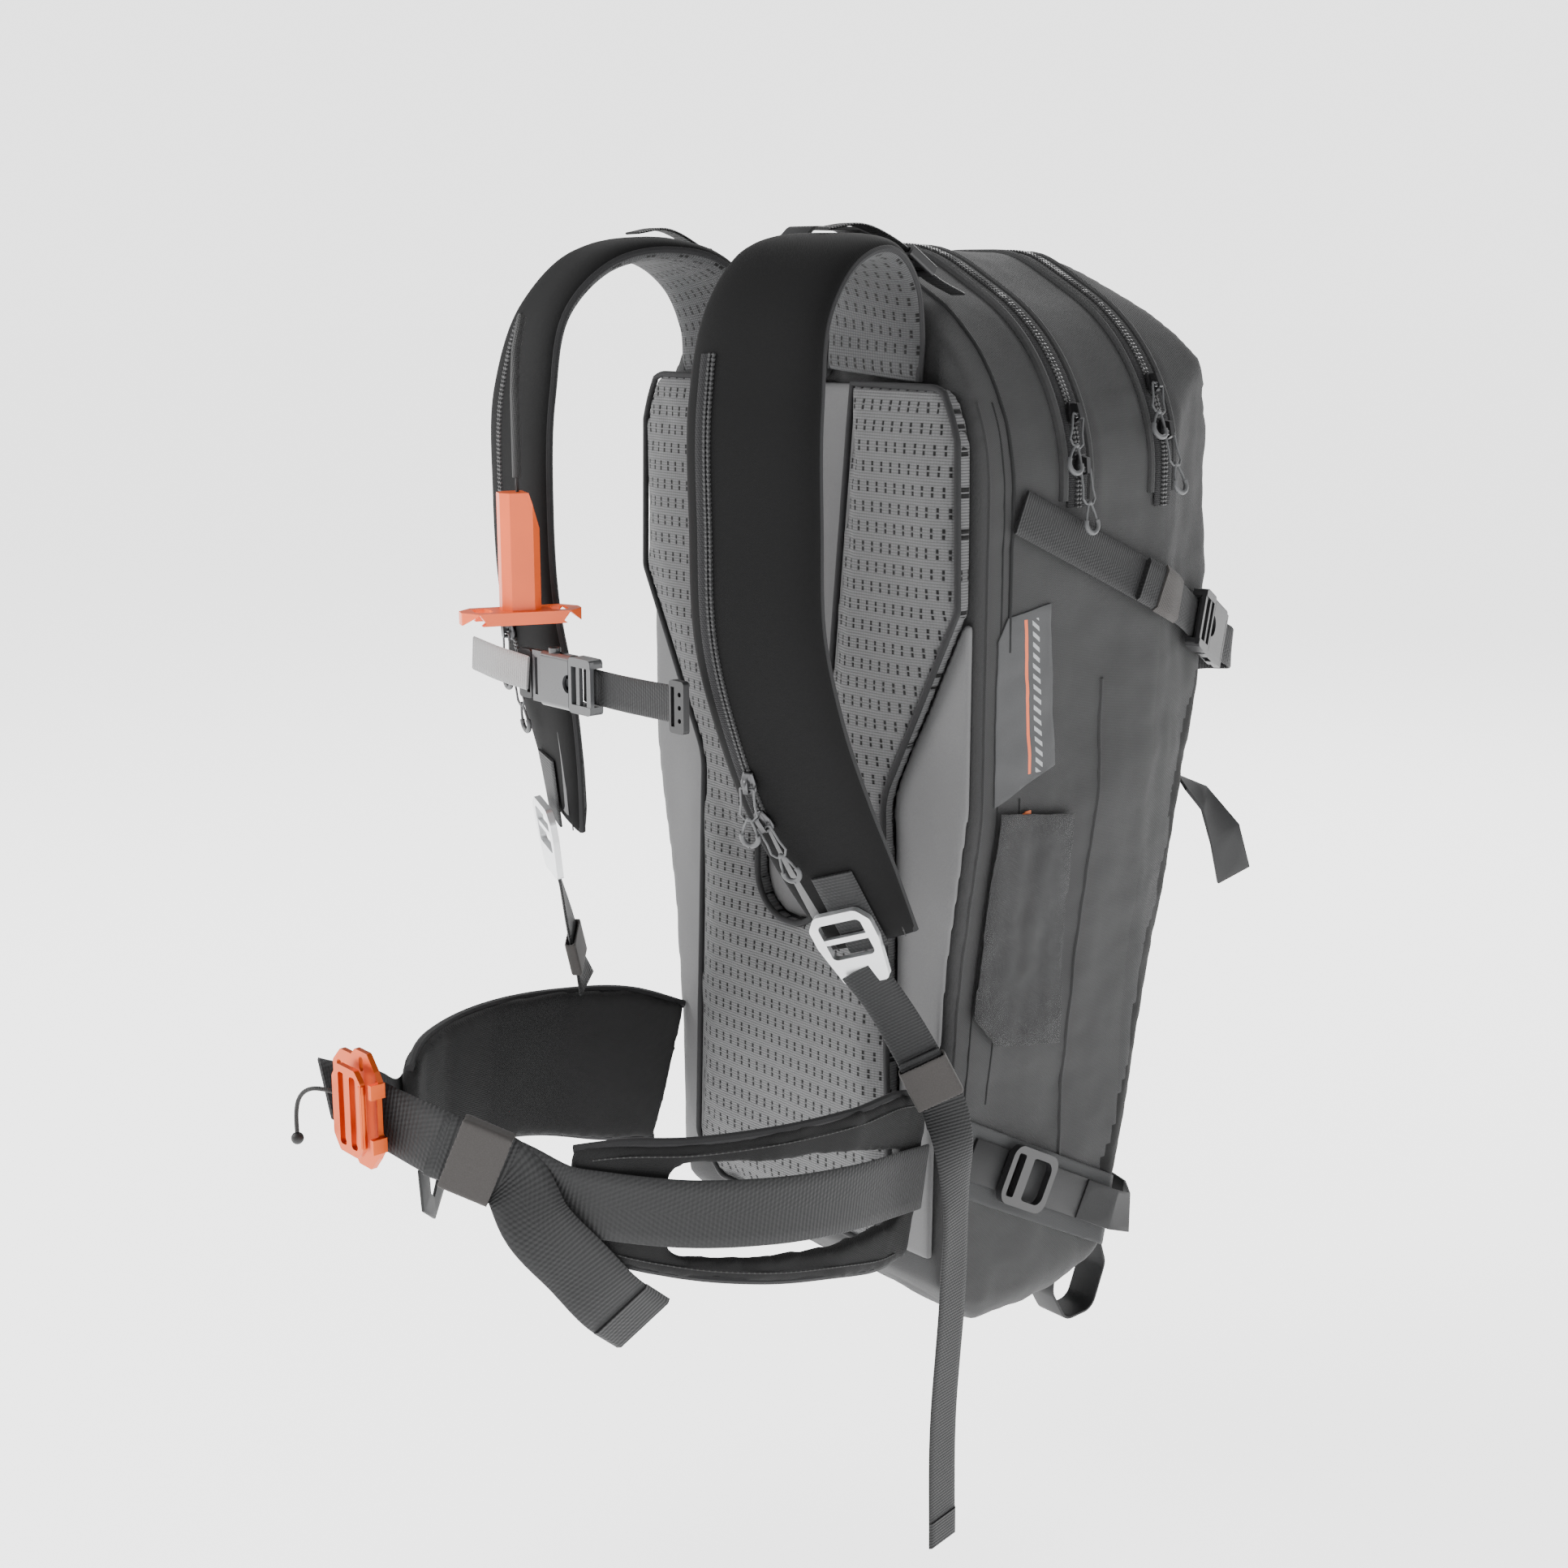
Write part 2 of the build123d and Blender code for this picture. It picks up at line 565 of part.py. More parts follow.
# ---- shoulder strap hardware --------------------------------------------------------
def ladder_plate(top, bottom, tall, web, thick):
    """The cast strap adjuster: a tapered plate with a wide window and a cross bar."""
    outline = [(-top / 2, tall * 0.34), (-top * 0.34, tall / 2), (top * 0.34, tall / 2), (top / 2, tall * 0.34),
               (top / 2, tall * 0.08), (bottom / 2, -tall / 2), (-bottom / 2, -tall / 2), (-top / 2, tall * 0.08)]
    face = rounded(outline, [5, 5, 5, 5, 8, 4, 4, 8])
    window = Pos(0, tall * 0.13) * RectangleRounded(web + 1.4, tall * 0.50, 3)
    plate = extrude(face - window, amount=thick / 2, both=True)
    bar = Pos(0, tall * 0.13, 0) * Box(web + 2, 3.4, thick * 0.7)
    plate = plate + bar
    return plate


def handle():
    """The trigger handle, its foot on z = 0: an eight-sided grip on a cut-out foot."""
    grip_w, grip_d = 22.0, 17.0
    c = 4.6
    section = [(-grip_w / 2, -grip_d / 2 + c), (-grip_w / 2 + c, -grip_d / 2), (grip_w / 2 - c, -grip_d / 2),
               (grip_w / 2, -grip_d / 2 + c), (grip_w / 2, grip_d / 2 - c), (grip_w / 2 - c, grip_d / 2),
               (-grip_w / 2 + c, grip_d / 2), (-grip_w / 2, grip_d / 2 - c)]
    grip = extrude(make_face(Polyline(*section, close=True)), amount=HANDLE_TALL)
    shoulder = [(grip_w / 2 - 7, HANDLE_TALL + 1), (grip_w, HANDLE_TALL + 1), (grip_w, HANDLE_TALL - 22),
                (grip_w / 2, HANDLE_TALL - 20)]
    grip -= extrude(Plane.XZ * make_face(Polyline(*shoulder, close=True)), amount=40, both=True)
    foot = [(-34, -4), (-26, -13), (26, -13), (34, -4), (34, 4), (26, 13), (-26, 13), (-34, 4)]
    base = extrude(rounded(foot, [2] * 8), amount=7)
    for side in (-1, 1):
        gap = Pos(side * 21.5, 0, 0) * Box(10, 15, 30)
        base -= chamfer(gap.edges().filter_by(Axis.Z), 2.5)
        scoop = Pos(side * 30, 0, -1) * Rot(0, side * 38, 0) * Box(16, 40, 6)
        base -= scoop
    cable_hole = Pos(0, 0, HANDLE_TALL - 8) * Cylinder(CABLE / 2, 20)
    return grip + base - cable_hole


def cable_housing():
    """The end of the cable's sleeve, held on the strap, with the cable's bore in it."""
    x, y, z = HANDLE_PLACE
    low = z + HANDLE_TALL + 8
    straight = low + CABLE_GRIP + 8
    points = [(x, y, low), (x, y, straight), (x - 5, y + 5, straight + 22), (x - 10, y + 13, straight + 40)]
    sleeve = tube(points, [30, 30], HOUSING)
    bore = Pos(x, y, low + CABLE_GRIP / 2) * Cylinder(CABLE / 2 + GAP, CABLE_GRIP + 8)
    return sleeve - bore


def trigger_cable():
    x, y, z = HANDLE_PLACE
    low = z + HANDLE_TALL - 18
    high = z + HANDLE_TALL + 8 + CABLE_GRIP
    return Pos(x, y, (low + high) / 2) * Cylinder(CABLE / 2, high - low)


# ---- hip buckle ---------------------------------------------------------------------
def hip_frame():
    """A plane on the buckle: x to the wearer's left, y up, z forward, away from the wearer."""
    return Plane(origin=HIP_BUCKLE, x_dir=(1, 0, 0), z_dir=(0, -1, 0))


def hip_receiver():
    """The large plate: a long slot for its webbing and two hooks at the other side."""
    outline = [(-25, 20), (-17, 28), (-6, 28), (-2, 32), (10, 32), (17, 24), (22, 17), (22, -17),
               (17, -24), (10, -32), (-2, -32), (-6, -28), (-17, -28), (-25, -20)]
    face = rounded(outline, [2, 2, 1, 1, 2, 2, 1, 1, 2, 2, 1, 1, 2, 2])
    slots = Pos(-18.5, 0) * RectangleRounded(4.6, 43, 2) + Pos(4, 25) * RectangleRounded(4, 8, 1.9)
    notch = Pos(22, 0) * RectangleRounded(7, 22, 2)
    plate = Pos(0, 0, -HIP_PLATE - HIP_PLATE_GAP / 2) * extrude(face - slots - notch, amount=HIP_PLATE)
    for side in (-1, 1):
        hook = box((19, 22), (-4, 4), (-HIP_PLATE_GAP / 2 - HIP_PLATE, HIP_PLATE_GAP / 2 + 1))
        plate += Pos(0, side * 15, 0) * hook
    return plate


def hip_ladder():
    """The small plate in front, which carries the adjustable webbing."""
    outline = [(-14, 16), (-8, 24), (9, 24), (15, 18), (15, -18), (9, -24), (-8, -24), (-14, -16)]
    face = rounded(outline, [3] * 8)
    slots = Pos(-4.5, 0) * RectangleRounded(6.2, 40, 2) + Pos(6.6, 0) * RectangleRounded(6.2, 40, 2)
    plate = Pos(0, 0, HIP_PLATE_GAP / 2) * extrude(face - slots, amount=HIP_PLATE)
    middle = HIP_PLATE_GAP / 2 + HIP_PLATE / 2
    return plate + Pos(13.5, 0, middle) * Rot(90, 0, 0) * Cylinder(HIP_PLATE * 0.62, 34)


def keeper(width, room, length):
    """A flat sleeve of elastic, along z, around webbing in its xy plane."""
    outer = Rectangle(width + 3.4, room + 2.4)
    inner = Rectangle(width + 1.6, room)
    return extrude(fillet(outer.vertices(), 1.5) - inner, amount=length / 2, both=True)


# ---- pieces on the harness ----------------------------------------------------------
def adjuster_frame(side):
    """Plane of a strap adjuster: x across, y up, z outward."""
    if side > 0:
        strap = strap_frame(side, 284, 0)
        origin = (111, -66, 267)
    else:
        strap = strap_frame(side, 318, 0)
        origin = (-108, -111, 294)
    return Plane(origin=origin, x_dir=strap.x_dir, z_dir=strap.z_dir)


def keeper_run(side):
    """The straight stretch of lower strap webbing that its keeper sits on."""
    if side > 0:
        return [((131, -34, 202), (0.70, -0.68, 0), WEB), ((139, -21, 172), (0.75, -0.64, 0), WEB)]
    return [((-117, -89, 230), (-0.66, -0.72, 0), WEB), ((-121, -80, 204), (-0.70, -0.68, 0), WEB)]


def strap_webbing():
    """Left and right lower strap webbing, and the left one's long free end."""
    left = [((119, -53, 240), (0.5, -0.85, 0), WEB), *keeper_run(1), ((140, -18, 160), (0.8, -0.5, 0), WEB)]
    tail = [*lifted(keeper_run(1), WEB_THICK + GAP * 2), ((147, -21, 152), (0.95, -0.3, 0), WEB),
            ((146, -17, 120), (1, 0.12, 0), WEB), ((143, -15, 60), (1, 0.12, 0), WEB),
            ((138, -16, -30), (1, 0.12, 0), WEB), ((136, -13, -106), (1, 0.12, 0), WEB)]
    upper_left = lifted([strap_stations(1)[10], strap_stations(1)[11]], STRAP_THICK / 2 + 1.4, WEB)
    upper_right = lifted(strap_stations(-1)[10:12], STRAP_THICK / 2 + 1.4, WEB)
    right = [((-111, -103, 270), (-0.45, -0.85, 0), WEB), *keeper_run(-1), ((-123, -74, 190), (-0.8, -0.5, 0), WEB)]
    return group(*[strip(s, WEB_THICK) for s in (left, tail, upper_left, upper_right, right)])


def strap_buckle(side):
    return adjuster_frame(side) * ladder_plate(38, 27, 47, WEB, 4)


def webbing_keepers():
    left = run_frame(keeper_run(1), (WEB_THICK + GAP * 2) / 2) * keeper(WEB, 6.6, 26)
    return group(left, run_frame(keeper_run(-1), 0) * keeper(WEB, 4.4, 24))


STERNUM_Y = -151.0


def sternum_frame():
    """x from the wearer's right to left, y up, z forward; the socket starts at its origin."""
    return Plane(origin=(-60, STERNUM_Y, STERNUM_Z), x_dir=(1, 0, 0), z_dir=(0, -1, 0))


def sternum_clips():
    """The two clips that hold the sternum webbing to the rails on the straps."""
    clips = []
    for side in (-1, 1):
        plate = box((-6, 6), (-2, 2), (-14, 14))
        plate = fillet(plate.edges().filter_by(Axis.Y), 2)
        plate -= box((-4.4, -1.6), (-9, 9), (-10.6, 10.6))
        for step in (-7, 0, 7):
            plate -= Pos(2.6, 0, step) * Rot(90, 0, 0) * Cylinder(1.3, 9)
        where = Pos(side * 68, STERNUM_Y + 0.5, STERNUM_Z)
        clips.append(where * (plate if side > 0 else mirrored(plate)))
    return group(*clips)


def sternum_webbing():
    """Left run, short right run and the free end that stands out past the right strap."""
    back = STERNUM_Y + PRONG_WEB
    left = box((-60 + 37 + 5, 61.2), (back - WEB_THICK / 2, back + WEB_THICK / 2),
               (STERNUM_Z - STERNUM_WEB / 2, STERNUM_Z + STERNUM_WEB / 2))
    tail = [((-61.5, STERNUM_Y - 4, STERNUM_Z + 1), (0, -1, 0), STERNUM_WEB),
            ((-84, STERNUM_Y - 8, STERNUM_Z + 4), (0.1, -1, 0), STERNUM_WEB),
            ((-110, STERNUM_Y - 8, STERNUM_Z + 7), (-0.1, -1, 0), STERNUM_WEB)]
    return group(left, strip(tail, WEB_THICK))


def sternum_socket():
    return sternum_frame() * (socket(STERNUM_WEB) + Pos(0, STERNUM_WEB / 2 + 5.2, 0) * Rot(90, 0, 0)
                              * Pos(19, 0, 0) * (Cylinder(3.4, 5) - Cylinder(2.3, 9)))


# ---- hip belt -----------------------------------------------------------------------
def hip_wing_left():
    """The left wing, with the long window that its webbing crosses."""
    wing = strip(wing_stations(), WING_THICK)
    window = [(-40, 104), (-100, 110), (-198, 126), (-198, 178), (-100, 166), (-40, 146)]
    cut = Pos(60, 0, 0) * extrude(Plane.YZ * rounded(window, [8, 200, 10, 10, 200, 8]), amount=120)
    return wing - cut


def hip_wing_right():
    return mirrored(strip(wing_stations(), WING_THICK))


def hip_webbing():
    right_end = ((HIP_BUCKLE[0] - 36, HIP_BUCKLE[1] + 3, HIP_BUCKLE[2]), (-0.3, -1, 0), BELT_WEB)
    right = across_x(belt_stations()[:7]) + [((-58, -266, 178), (-0.62, -0.78, 0), BELT_WEB), right_end]
    left = strip(belt_stations(), WEB_THICK)
    over = lifted(belt_keeper_run(), WEB_THICK + GAP * 2)
    tail = [over[1], over[0], ((76, -254, 148), (0.72, -0.70, 0.1), BELT_WEB),
            ((88, -238, 124), (0.75, -0.66, 0.1), BELT_WEB), ((94, -222, 102), (0.8, -0.6, 0.1), BELT_WEB),
            ((92, -200, 82), (0.8, -0.6, 0.1), BELT_WEB)]
    return group(left, strip(right, WEB_THICK), strip(tail, WEB_THICK))


def belt_keeper():
    return run_frame(belt_keeper_run(), (WEB_THICK + GAP * 2) / 2) * keeper(BELT_WEB, 7.2, 28)


def buckle_cord_points():
    x, y, z = HIP_BUCKLE
    return [(x - 17, y - 1, z + 4), (x - 24, y - 8, z + 7), (x - 33, y - 13, z + 3), (x - 37, y - 15, z - 8),
            (x - 36, y - 15, z - 20)]


def cord_radii(points):
    """Arcs as large as the two runs beside each point allow."""
    radii = []
    for a, b, c in zip(points, points[1:], points[2:]):
        first, second = Vector(*b) - Vector(*a), Vector(*c) - Vector(*b)
        half = math.radians(first.get_angle(second) / 2)
        radii.append(0.45 * min(first.length, second.length) / math.tan(half))
    return radii


# ---- side straps --------------------------------------------------------------------
def side_slope():
    """Unit steps along and out of the tapering front part of the left side."""
    run = Vector(-33, DEPTH - FRONT_ZIP_Y - 5, 0).normalized()
    return run, Vector(run.Y, -run.X, 0)


def compression_frame():
    """x forward and down along the strap, z out of the side, at the buckle's socket end."""
    run, out = side_slope()
    place = Vector(HALF_WIDTH - 1, FRONT_ZIP_Y + 5, 0) + run * 93 + out * 8
    origin = (place.X, place.Y, 402)
    along = Vector(run.X, run.Y, -0.44).normalized()
    return Plane(origin=origin, x_dir=along * -1, z_dir=out)


def compression_webbing():
    frame = compression_frame()
    back = frame.origin - frame.z_dir * PRONG_WEB
    near, far = back + frame.x_dir * 42, back + frame.x_dir * 84
    out = tuple(frame.z_dir)
    proud = HALF_WIDTH + 3.2 + WEB_THICK / 2
    run = strip([((proud, 26, 500), (1, 0, 0), WEB), ((proud, 150, 445), (1, 0, 0), WEB),
                 (tuple(far), out, WEB), (tuple(near), out, WEB)], WEB_THICK)
    end = frame.origin + frame.x_dir * -1
    loop = [((end.X + 1, end.Y, end.Z), (1, 0.4, 0), WEB), ((end.X - 2, end.Y + 12, end.Z - 5), (1, 0.5, 0), WEB),
            ((end.X - 11, end.Y + 19, end.Z - 8), (0.3, 1, 0), WEB),
            ((end.X - 23, end.Y + 14, end.Z - 9), (-0.5, 1, 0), WEB)]
    side = group(run, strip(loop, WEB_THICK))
    return Compound(children=side.solids() + mirrored(side).solids())


def ski_frame():
    """x forward and down along the lower strap, z out of the side, at its buckle."""
    return Plane(origin=(WAIST_HALF + 8.6, 66, 98), x_dir=(0, 0.88, -0.475), z_dir=(1, 0, 0))


def ski_patches():
    """The stitched reinforcement that carries each ski strap."""
    region = slanted(-4, 134, 172, 39, 44, (60, HALF_WIDTH * 2)) & box((0, 300), (2, 158), (0, 300))
    return pair(skin(GAP, 2.0, region).solids().sort_by(SortBy.VOLUME)[-1])


def ski_webbing():
    frame = ski_frame()
    low = -4.2
    run = frame * box((-52, 62), (-WEB / 2, WEB / 2), (low - WEB_THICK / 2, low + WEB_THICK / 2))
    end = frame.origin + frame.x_dir * 64 + frame.z_dir * low
    loop = [((end.X + 1, end.Y - 2, end.Z + 1), (1, 0, 0), WEB), ((end.X + 6, end.Y + 22, end.Z - 12), (1, 0.2, 0), WEB),
            ((end.X + 1, end.Y + 44, end.Z - 22), (1, 0.8, 0), WEB),
            ((end.X - 18, end.Y + 62, end.Z - 24), (0.1, 1, 0), WEB),
            ((end.X - 42, end.Y + 63, end.Z - 20), (-0.1, 1, 0), WEB)]
    return Compound(children=pair(group(run, strip(loop, WEB_THICK))).solids())


def ski_buckles():
    outer = RectangleRounded(44, WEB + 11, 8)
    slots = Pos(-14, 0) * RectangleRounded(7, WEB + 1.6, 1.5) + Pos(6, 0) * RectangleRounded(22, WEB + 1.6, 6)
    plate = extrude(outer - slots, amount=2.2, both=True)
    bar = Pos(-3, 0, 0) * Box(3.4, WEB + 3, 3)
    return pair(ski_frame() * (plate + bar))


# ---- loops --------------------------------------------------------------------------
def haul_loop():
    top = HANG_POINT.Z
    path = [(-7, HEIGHT - 34), (-15, top - 8), (-4, top + 1), (30, top + 1), (44, top - 3), (63, HEIGHT + 1.8)]
    return band(path, 5, 2.0, 22, 0)


def load_lifter_webbing():
    path = [((86, 34, HEIGHT - 26), (0, 0.4, 1), 12), ((85.5, 14, HEIGHT - 18), (0, 0.4, 1), 12),
            ((84, -14, HEIGHT + 1), (0, 0.4, 1), 12), ((82, -40, HEIGHT + 10), (0, 0, 1), 12),
            ((80, -62, HEIGHT + 7.5), (0, -0.3, 1), 12)]
    return pair(strip(path, 1.4))


def load_lifter_buckles():
    frame = Plane(origin=(84.8, 0, HEIGHT - 8.5), x_dir=(1, 0, 0), z_dir=(0.05, 0.83, -0.56))
    ring = Rectangle(18, 6.4)
    ring = fillet(ring.vertices(), 1.6) - Rectangle(13.6, 3.0)
    shape = frame * extrude(ring, amount=10, both=True)
    window = frame * (Pos(0, 3, 4) * Box(13.6, 6, 6) + Pos(0, 3, -5) * Box(13.6, 6, 5))
    return pair(shape - window)


def tool_loops():
    """Gear loop under the right wing, ice-axe loop at the foot and shaft holder in front."""
    gear = across_x([((104, -196, 112), (0.8, -0.6, 0), 14), ((103, -199, 98), (0.8, -0.6, 0), 14),
                     ((94, -210, 88), (0.8, -0.6, 0), 14), ((84, -221, 98), (0.8, -0.6, 0), 14),
                     ((83, -223, 122), (0.8, -0.6, 0), 14)])
    axe = band([(150, 18), (146, -20), (160, -43), (186, -43), (198, -14), (188, 14)], 11, 1.8, 22, 68)
    holder = [((93, 240, 309), (0.6, 0.8, 0.1), 20), ((100, 254, 298), (0.85, 0.3, 0.4), 23),
              ((106, 270, 272), (0.8, -0.4, 0.4), 25), ((104, 284, 242), (0.8, -0.45, 0.3), 25)]
    return group(strip(gear, 1.8), axe, strip(holder, 2.2))


def leg_strap():
    """The leg strap and its hook, stowed flat behind the pocket on the left side."""
    webbing = skin(0.5, WEB_THICK, slanted(34, 330, 62, 225, 20, (100, 200)))
    hook = Pos(WAIST_HALF + 8, 66, 204) * Rot(0, 94.4, 0) * (Cylinder(17, 2.6) - Cylinder(12, 4))
    return group(webbing.solids().sort_by(SortBy.VOLUME)[-1], hook)


def leg_pocket():
    region = box((60, 200), (10, 96), (176, 345))
    return skin(5.2, 1.0, region).solids().sort_by(SortBy.VOLUME)[-1]


# ---- write every piece --------------------------------------------------------------
save("pack_shell", pack_shell())
save("front_panel", front_panel())
save("back_mesh_pad", back_mesh_pad())
save("back_lining_panels", back_lining_panels())
save("shoulder_yoke", yoke())
save("frame_sheet", frame_sheet())
save("frame_stays", frame_stays())
save("airbag_bundle", airbag_bundle())
save("fan_housing", fan_housing())
save("fan_cover", fan_cover())
save("fan_motor", fan_motor())
save("fan_shaft", fan_shaft())
save("impeller", impeller())
save("capacitor_pack", capacitor_pack())
save("control_box", control_box())
save("power_button", power_button())
save("main_zip", zip_arch(MAIN_ZIP_Y))
save("front_zip", zip_arch(FRONT_ZIP_Y))
for slider_name, (zip_y, degrees) in SLIDERS.items():
    seat = arch_frame(zip_y, degrees, GAP)
    save(slider_name, seat * slider())
    save(slider_name.replace("slider", "pull"), pull_plane(seat, slider_name.split("_")[-1]) * pull())
save("shoulder_strap_left", strip(strap_stations(1), STRAP_THICK))
save("shoulder_strap_right", strip(strap_stations(-1), STRAP_THICK))
save("strap_buckle_left", strap_buckle(1))
save("strap_buckle_right", strap_buckle(-1))
save("strap_webbing", strap_webbing())
save("webbing_keepers", webbing_keepers())
save("cable_housing", cable_housing())
save("trigger_cable", trigger_cable())
save("trigger_handle", Pos(*HANDLE_PLACE) * Rot(0, 0, HANDLE_TURN) * handle())
save("sternum_clips", sternum_clips())
save("sternum_webbing", sternum_webbing())
save("sternum_socket", sternum_socket())
save("sternum_prong", sternum_frame() * prong(STERNUM_WEB))
save("hip_wing_left", hip_wing_left())
save("hip_wing_right", hip_wing_right())
save("hip_webbing", hip_webbing())
save("hip_buckle_receiver", hip_frame() * hip_receiver())
save("hip_buckle_ladder", hip_frame() * hip_ladder())
save("belt_keeper", belt_keeper())
cord = buckle_cord_points()
print("cord radii", [round(r, 1) for r in cord_radii(cord)])
save("buckle_cord", tube(cord, cord_radii(cord), 2.4))
save("cord_bead", Pos(cord[-1][0], cord[-1][1], cord[-1][2] - 3.6) * Sphere(3.4))
save("compression_webbing", compression_webbing())
save("compression_sockets", pair(compression_frame() * socket(WEB)))
save("compression_prong_left", compression_frame() * prong(WEB))
save("compression_prong_right", mirrored(compression_frame() * prong(WEB)))
save("ski_patches", ski_patches())
save("ski_webbing", ski_webbing())
save("ski_buckles", ski_buckles())
save("haul_loop", haul_loop())
save("load_lifter_webbing", load_lifter_webbing())
save("load_lifter_buckles", load_lifter_buckles())
save("tool_loops", tool_loops())
save("leg_strap", leg_strap())
save("leg_pocket", leg_pocket())
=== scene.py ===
"""Looks of the avalanche airbag backpack.  Lengths in the helper at() are pack millimetres:
+X the wearer's left, +Y away from the wearer's back, +Z up from the pack's lowest corner."""
import bmesh
import bpy
import math
from mathutils import Matrix, Vector, noise
from mathutils.bvhtree import BVHTree


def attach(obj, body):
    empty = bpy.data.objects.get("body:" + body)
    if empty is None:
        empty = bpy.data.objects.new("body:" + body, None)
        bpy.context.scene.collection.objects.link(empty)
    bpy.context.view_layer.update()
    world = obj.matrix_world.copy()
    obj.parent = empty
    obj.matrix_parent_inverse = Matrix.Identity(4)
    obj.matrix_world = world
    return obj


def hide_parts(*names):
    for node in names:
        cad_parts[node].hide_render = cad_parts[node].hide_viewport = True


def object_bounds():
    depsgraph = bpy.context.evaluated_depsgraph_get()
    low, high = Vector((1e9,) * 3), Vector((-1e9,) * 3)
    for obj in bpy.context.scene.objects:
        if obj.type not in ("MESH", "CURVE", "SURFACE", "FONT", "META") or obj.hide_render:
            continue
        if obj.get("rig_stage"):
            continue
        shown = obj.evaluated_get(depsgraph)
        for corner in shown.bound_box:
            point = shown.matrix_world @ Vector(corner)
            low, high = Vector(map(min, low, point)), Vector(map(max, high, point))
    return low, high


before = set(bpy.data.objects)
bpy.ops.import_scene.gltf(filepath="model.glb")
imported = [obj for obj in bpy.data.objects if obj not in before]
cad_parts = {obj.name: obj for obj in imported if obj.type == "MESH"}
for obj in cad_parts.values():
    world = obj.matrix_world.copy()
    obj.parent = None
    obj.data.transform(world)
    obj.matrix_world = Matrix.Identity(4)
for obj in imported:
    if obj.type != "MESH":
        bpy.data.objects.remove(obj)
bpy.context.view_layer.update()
MM = 0.001


def at(x, y, z):
    return Vector((x, y - 6, z - 649)) * MM


def back_to_mm(p):
    return Vector((p.x / MM, p.y / MM + 6, p.z / MM + 649))


def put_down():
    if bpy.context.object and bpy.context.object.mode != "OBJECT":
        bpy.ops.object.mode_set(mode="OBJECT")
    bpy.ops.object.select_all(action="DESELECT")


def pick_up(piece):
    put_down()
    piece.select_set(True)
    bpy.context.view_layer.objects.active = piece
    return piece


# ---- camera, light and floor --------------------------------------------------------
def camera():
    bpy.ops.object.camera_add(location=(0.937, -0.855, -0.026))
    eye = bpy.context.object
    turn, dip = math.radians(48.4), math.radians(13.1)
    look = Vector((-math.sin(turn) * math.cos(dip), math.cos(turn) * math.cos(dip), -math.sin(dip)))
    eye.rotation_euler = look.to_track_quat("-Z", "Y").to_euler()
    eye.data.lens = 50
    eye.data.sensor_width = 36
    bpy.context.scene.camera = eye


def soft_light(name, place, size, power, aim=(0, 0, -0.33)):
    put_down()
    bpy.ops.object.light_add(type="AREA", location=place)
    lamp = bpy.context.object
    lamp.name = name
    lamp.rotation_euler = (Vector(aim) - Vector(place)).to_track_quat("-Z", "Y").to_euler()
    lamp.data.size = size
    lamp.data.energy = power


# ---- finishes -----------------------------------------------------------------------
class Num:
    """A number in a material, with Python's own arithmetic."""

    def __init__(self, finish, socket):
        self.finish, self.socket = finish, socket

    def do(self, what, a, b=0.0):
        return self.finish.maths(what, a, b)

    def __add__(self, b): return self.do("ADD", self, b)
    def __radd__(self, a): return self.do("ADD", a, self)
    def __sub__(self, b): return self.do("SUBTRACT", self, b)
    def __rsub__(self, a): return self.do("SUBTRACT", a, self)
    def __mul__(self, b): return self.do("MULTIPLY", self, b)
    def __rmul__(self, a): return self.do("MULTIPLY", a, self)
    def __truediv__(self, b): return self.do("DIVIDE", self, b)
    def __lt__(self, b): return self.do("LESS_THAN", self, b)
    def __gt__(self, b): return self.do("GREATER_THAN", self, b)
    def __abs__(self): return self.do("ABSOLUTE", self)
    def part(self): return self.do("FRACT", self)
    def whole(self): return self.do("FLOOR", self)
    def sine(self): return self.do("SINE", self)


